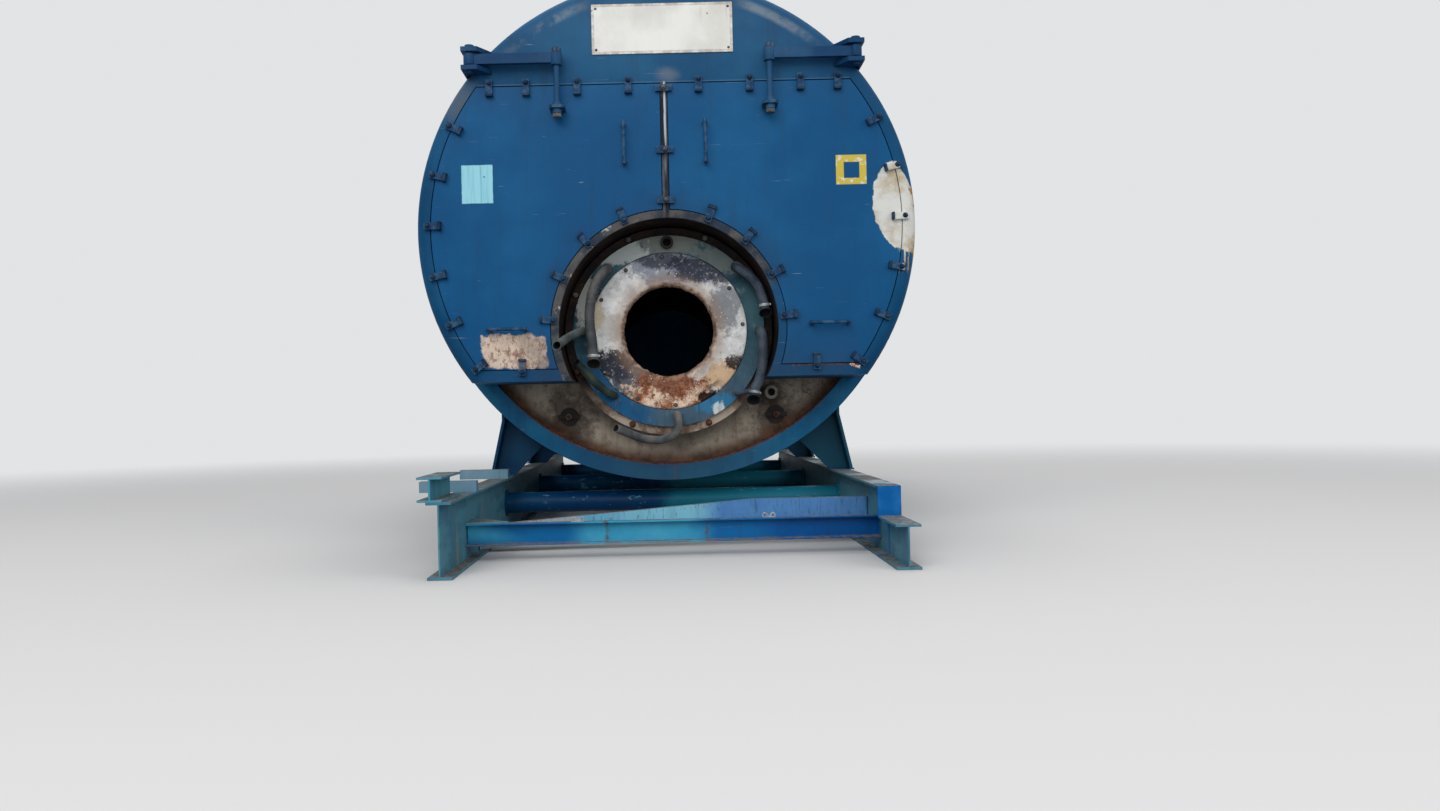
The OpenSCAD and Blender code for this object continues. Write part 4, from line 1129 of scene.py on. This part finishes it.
def middle_dog_bolts():
    """One bolt and wide washer on the post for each pair of middle dogs."""
    b = Build("middle_dog_bolts", "bolt")
    arch_top = FURNACE_Z + SEAM_ARCH_R
    for share in (0.074, 0.469, 0.953):
        c = Vector((0, DOOR_Y + DOG_FACE, arch_top + share * (SEAM_TOP_Z - arch_top)))
        b.rod(c, FRONT, 0.015, 0.003, 20, 0.3)
        b.prism(c - Vector((0, 0.003, 0)), FRONT, 0.0125, 0.010, random.random())
        b.rod(c - Vector((0, 0.013, 0)), FRONT, 0.007, 0.008, 14, 0.2)
    b.done()


def hinge_details():
    """Nuts on the hanger rods and weld beads at the hanger brackets on the leaves."""
    for side, _, body in SIDES:
        lo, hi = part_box(side + "_hanger_rod")
        x, y = (lo.x + hi.x) / 2, (lo.y + hi.y) / 2
        b = Build(side + "_rod_nuts", "bolt", body)
        b.prism((x, y, hi.z - 0.024 - 0.001), UP, 0.026, 0.020, 0.3)
        b.prism((x, y, lo.z + 0.004), (0, 0, -1), 0.024, 0.018, 0.1)
        b.done()
        w = Build(side + "_leaf_bracket_weld", "weld", body, smooth=70)
        blo = x - 0.038
        for dz, seed in ((0.009, x), (-0.009, x + 3)):
            weld_bead(w, [(blo + 0.0095 * i, DOOR_Y - 0.001, HANG_Z + dz) for i in range(9)], 0.004, seed)
        for s in (-1, 1):
            weld_bead(w, [(x + s * 0.006, DOOR_Y - 0.001, HANG_Z - 0.01 - 0.004 * i) for i in range(7)],
                    0.003, s)
        w.done()


def sealant():
    """Crumbs of sealant along the bottom seam at the right."""
    b = Build("seam_sealant", "sealant", smooth=60)
    for _ in range(22):
        x = 0.885 + 0.065 * random.random() ** 0.7
        z = SEAM_BOTTOM_Z - 0.002 - 0.018 * (x - 0.885) / 0.065 + random.uniform(-0.006, 0.006)
        r = random.uniform(0.003, 0.007)
        b.rod((x, DOOR_Y + 0.001, z), (random.uniform(-0.2, 0.2), -1, 0), r, r * 0.8, 7, 0.4)
    b.done()


dog_details()
middle_dog_bolts()
hinge_details()
sealant()


# Tube ends on the front sheet
def tube_ends():
    """Rolled ends of the fire tubes, with near-black discs for their bores: soot and painted shade."""
    b = Build("fire_tube_ends", "steel")
    # Near-black discs in the tube ends: soot and painted shade of the bores.
    dark = Build("fire_tube_bores", "soot")
    pitch, r_out = 0.098, 0.038
    lip = [(r_out - 0.004, -0.001), (r_out - 0.004, 0.007), (r_out, 0.0085), (r_out + 0.004, 0.004),
           (r_out + 0.006, -0.001)]
    for i in range(-12, 13):
        for j in range(-8, 13):
            x = i * pitch + (pitch / 2 if j % 2 else 0)
            z = j * pitch * 0.90
            if math.hypot(x, z) > 1.12 or z < -0.62 or z > 0.86:
                continue
            if math.hypot(x, AXIS_Z + z - FURNACE_Z) < 0.67:
                continue
            c = (x, SHEET_Y, AXIS_Z + z)
            b.spun(lip, c, FRONT, 20)
            dark.rod(c, FRONT, r_out - 0.0035, 0.0015, 18)
    b.done()
    dark.done()


def handhole_nuts():
    """Nut on the middle stud of each handhole bridge."""
    b = Build("handhole_nuts", "rusty_bolt")
    for side in ("left", "right"):
        lo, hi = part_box(side + "_handhole")
        c = ((lo.x + hi.x) / 2, lo.y + 0.026, (lo.z + hi.z) / 2)
        b.prism(c, FRONT, 0.019, 0.016, 0.2)
    b.done()


def sign_screws():
    """Screw heads in the corners of the bare plate."""
    lo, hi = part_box("sign_plate")
    b = Build("sign_screws", "bolt")
    for x in (lo.x + 0.022, hi.x - 0.022):
        for z in (lo.z + 0.022, hi.z - 0.022):
            b.rod((x, lo.y, z), FRONT, 0.007, 0.003, 16, 0.5)
    b.done()


tube_ends()
handhole_nuts()
sign_screws()


# Drum and rear end
def jacket_screws():
    """Screws along the laps of the jacket sheets."""
    b = Build("jacket_screws", "bolt")
    laps = (RING_Y + 0.042, (LEG_YS[0] + MANWAY_Y) / 2, (MANWAY_Y + STEAM_Y) / 2,
            (STEAM_Y + SAFETY_Y) / 2, (SAFETY_Y + LEG_YS[2]) / 2, REAR_RING_Y - 0.030)
    for y in laps:
        for k in range(48):
            t = math.radians(7.5 * k + 3)
            if abs(math.cos(t)) * LAP_R < 0.3 and math.sin(t) > 0:
                continue
            out = Vector((math.cos(t), 0, math.sin(t)))
            b.rod(Vector((0, y, AXIS_Z)) + out * (LAP_R - 0.0035), out, 0.008, 0.0032, 8, 0.5)
    b.done()


def ring_of_bolts(b, center, axis, radius, count, size, length):
    """Bolts on a circle round axis."""
    for k in range(count):
        a = math.radians(360 * k / count)
        c = Vector(center) + lifted(axis) @ Vector((radius * math.cos(a), radius * math.sin(a), 0))
        b.bolt(c, axis, size, a, length)


def fittings():
    """Bolts of the manway cover and the rear cover."""
    b = Build("fitting_bolts", "bolt")
    ring_of_bolts(b, (0, MANWAY_Y, COVER_Z), UP, 0.232, 16, 0.020, 0.006)
    ring_of_bolts(b, (0, REAR_Y, AXIS_Z), (0, 1, 0), BOX_R - 0.035, 40, 0.016, 0.006)
    b.done()


def welds():
    """Beads at the ring, the legs, the foot of the tube sheet and the channels' ends."""
    w = Build("front_welds", "weld", smooth=70)
    weld_bead(w, circle_points(0, AXIS_Z, JACKET_R - 0.004, RING_Y + RING_T + 0.001, 0, 360, 360), 0.004,
            5.0)
    for y in LEG_YS:
        for sign in (-1, 1):
            for dy in (-0.009, 0.009):
                weld_bead(w, [(sign * (0.89 + 0.012 * i), y + dy, BEAM_TOP + 0.002) for i in range(10)],
                        0.005, y + dy)
            for dx in (-0.001, 0.018):
                x = sign * (BEAM_X + 0.050 + dx)
                weld_bead(w, [(x, y - 0.105 + 0.014 * i, BEAM_TOP + 0.002) for i in range(16)], 0.005,
                        y + dx)
    sheet = Build("sheet_weld", "rusty_bolt", smooth=70)
    weld_bead(sheet, circle_points(0, AXIS_Z, 1.206, SHEET_Y - 0.001, 218, 322, 160), 0.006)
    sheet.done()
    for name in ("front_channel", "bent_channel"):
        lo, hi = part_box(name)
        for sign in (-1, 1):
            x = sign * (WEB_IN - 0.002)
            low = lo.z if name == "front_channel" or sign < 0 else hi.z - 0.115
            high = hi.z if name == "front_channel" or sign > 0 else lo.z + 0.115
            weld_bead(w, [(x, lo.y - 0.001 + (0.037 if name == "front_channel" else 0),
                    low + (high - low) * i / 9) for i in range(10)], 0.004, lo.y + sign)
    w.done()


def channel_clips():
    """Small pipe clips on the channel's top edge and a gusset plate in its left corner."""
    lo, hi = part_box("front_channel")
    b = Build("channel_clips", "clip", smooth=40)
    for x in (-0.432, 0.432):
        b.box((x - 0.028, lo.y + 0.004, hi.z), (x + 0.028, lo.y + 0.034, hi.z + 0.004), 0.001)
        for s in (-1, 1):
            hook = [(x + s * 0.018 + 0.01 * math.cos(t), lo.y + 0.019,
                    hi.z + 0.003 + 0.017 * math.sin(t)) for t in (math.pi * i / 10 for i in range(11))]
            b.sweep(hook, 0.0035, 8)
            b.prism((x + s * 0.006, lo.y + 0.019, hi.z + 0.004), UP, 0.006, 0.006, 0.2)
    b.done()
    g = Build("corner_gusset", "stub", smooth=40)
    top, thick = hi.z, 0.006
    outline = [(-WEB_IN + 0.001, lo.y + 0.005), (-WEB_IN + 0.19, lo.y + 0.036),
            (-WEB_IN + 0.06, lo.y + 0.18), (-WEB_IN + 0.001, lo.y + 0.19)]
    g.grid([[Vector((x, y, top + h)) for x, y in outline + outline[:1]] for h in (0.0, thick)])
    for h in (0.0, thick):
        g.bm.faces.new([g.bm.verts.new((x, y, top + h)) for x, y in outline])
    bmesh.ops.remove_doubles(g.bm, verts=g.bm.verts, dist=1e-6)
    g.done()


jacket_screws()
fittings()
welds()
channel_clips()

ROUNDED = ("left_leaf", "right_leaf", "left_davit_arm", "right_davit_arm", "left_davit_bracket",
        "right_davit_bracket", "sign_plate", "left_beam", "right_beam", "front_channel", "bent_channel",
        "stub_beam", "front_outrigger_bar", "rear_outrigger_bar")
for name, node in NODES.items():
    if name in ROUNDED or name.endswith("_leg"):
        soften(node, 0.0015)


# Stage, light and camera
BACKDROP = (226, 228, 230)


def stage():
    """Pale sweep that keeps the shadow near the object and fades to plain white far away."""
    g = Surface("studio_floor")
    seen = g.seen()
    far = g.math("SQRT", g.x * g.x + g.y * g.y + g.z * g.z)
    plain = g.ease(far, 4.5, 13.0) * seen
    g.color = g.mix(seen, (150, 151, 152), (214, 212, 210))
    g.coat(plain, (0, 0, 0))
    g.put(BACKDROP, g.bsdf["Emission Color"])
    g.put(plain, g.bsdf["Emission Strength"])
    mat = g.finish(0.9, specular=0.0)
    b = Build("studio_floor", mat, body=None)
    half, back, turn = 60.0, 34.0, 9.0
    arc = [math.radians(d) for d in range(10, 91, 10)]
    prof = [(-half, 0.0), (back, 0.0)] + [(back + turn * math.sin(t),
            turn - turn * math.cos(t)) for t in arc]
    prof.append((back + turn, 40.0))
    b.grid([[Vector((x, y, z - 0.0005)) for y, z in prof] for x in (-half, half)])
    b.done()


stage()

world = bpy.data.worlds.new("studio")
bpy.context.scene.world = world
world.use_nodes = True
sky = Graph(world.node_tree)
glow = sky.node("Background", {"Color": (0.90, 0.94, 1.0, 1), "Strength": 0.48})
shown = sky.node("Background", {"Color": BACKDROP, "Strength": 1.0})
sky.node("OutputWorld", {0: sky.node("MixShader", {0: sky.seen(), 1: glow, 2: shown})})


def area_light(name, place, target, size, power):
    light = bpy.data.lights.new(name, "AREA")
    light.shape = "DISK"
    light.size = size
    light.energy = power
    obj = bpy.data.objects.new(name, light)
    bpy.context.scene.collection.objects.link(obj)
    obj.location = place
    obj.rotation_mode = "QUATERNION"
    obj.rotation_quaternion = (Vector(target) - Vector(place)).to_track_quat("-Z", "Y")


area_light("key", (-4, -11, 8), (0, -1.5, 1.4), 8, 600)
area_light("fill", (8, -8, 6), (0, -1.5, 1.4), 8, 240)
area_light("low_front", (1, -14, 3.6), (0, -2.5, 0.8), 7, 300)
area_light("rear", (3, 13, 6), (0, 2.5, 1.4), 8, 320)
area_light("top", (0, 2, 12), (0, 0, 1.5), 8, 440)

IMAGE_W, IMAGE_H = 1440, 811
FOCAL_PX = 1081.0
VANISH = (669.0, 411.0)
ROLL = 0.0227
CAMERA_AT = Vector((-0.008, FRONT_Y - 4.320, 0.657))


def camera():
    """Looks straight along the drum, rolled a little, with the lens shifted to its vanishing point."""
    data = bpy.data.cameras.new("camera")
    data.sensor_width = 36.0
    data.lens = FOCAL_PX / IMAGE_W * data.sensor_width
    data.shift_x = (IMAGE_W / 2 - VANISH[0]) / IMAGE_W
    data.shift_y = (VANISH[1] - IMAGE_H / 2) / IMAGE_W
    data.clip_end = 200
    cam = bpy.data.objects.new("camera", data)
    bpy.context.scene.collection.objects.link(cam)
    bpy.context.scene.camera = cam
    level = Matrix.Rotation(math.radians(90), 4, "X")
    cam.matrix_world = Matrix.Translation(CAMERA_AT) @ level @ Matrix.Rotation(-ROLL, 4, "Z")


camera()
bpy.context.scene.view_settings.view_transform = "Standard"
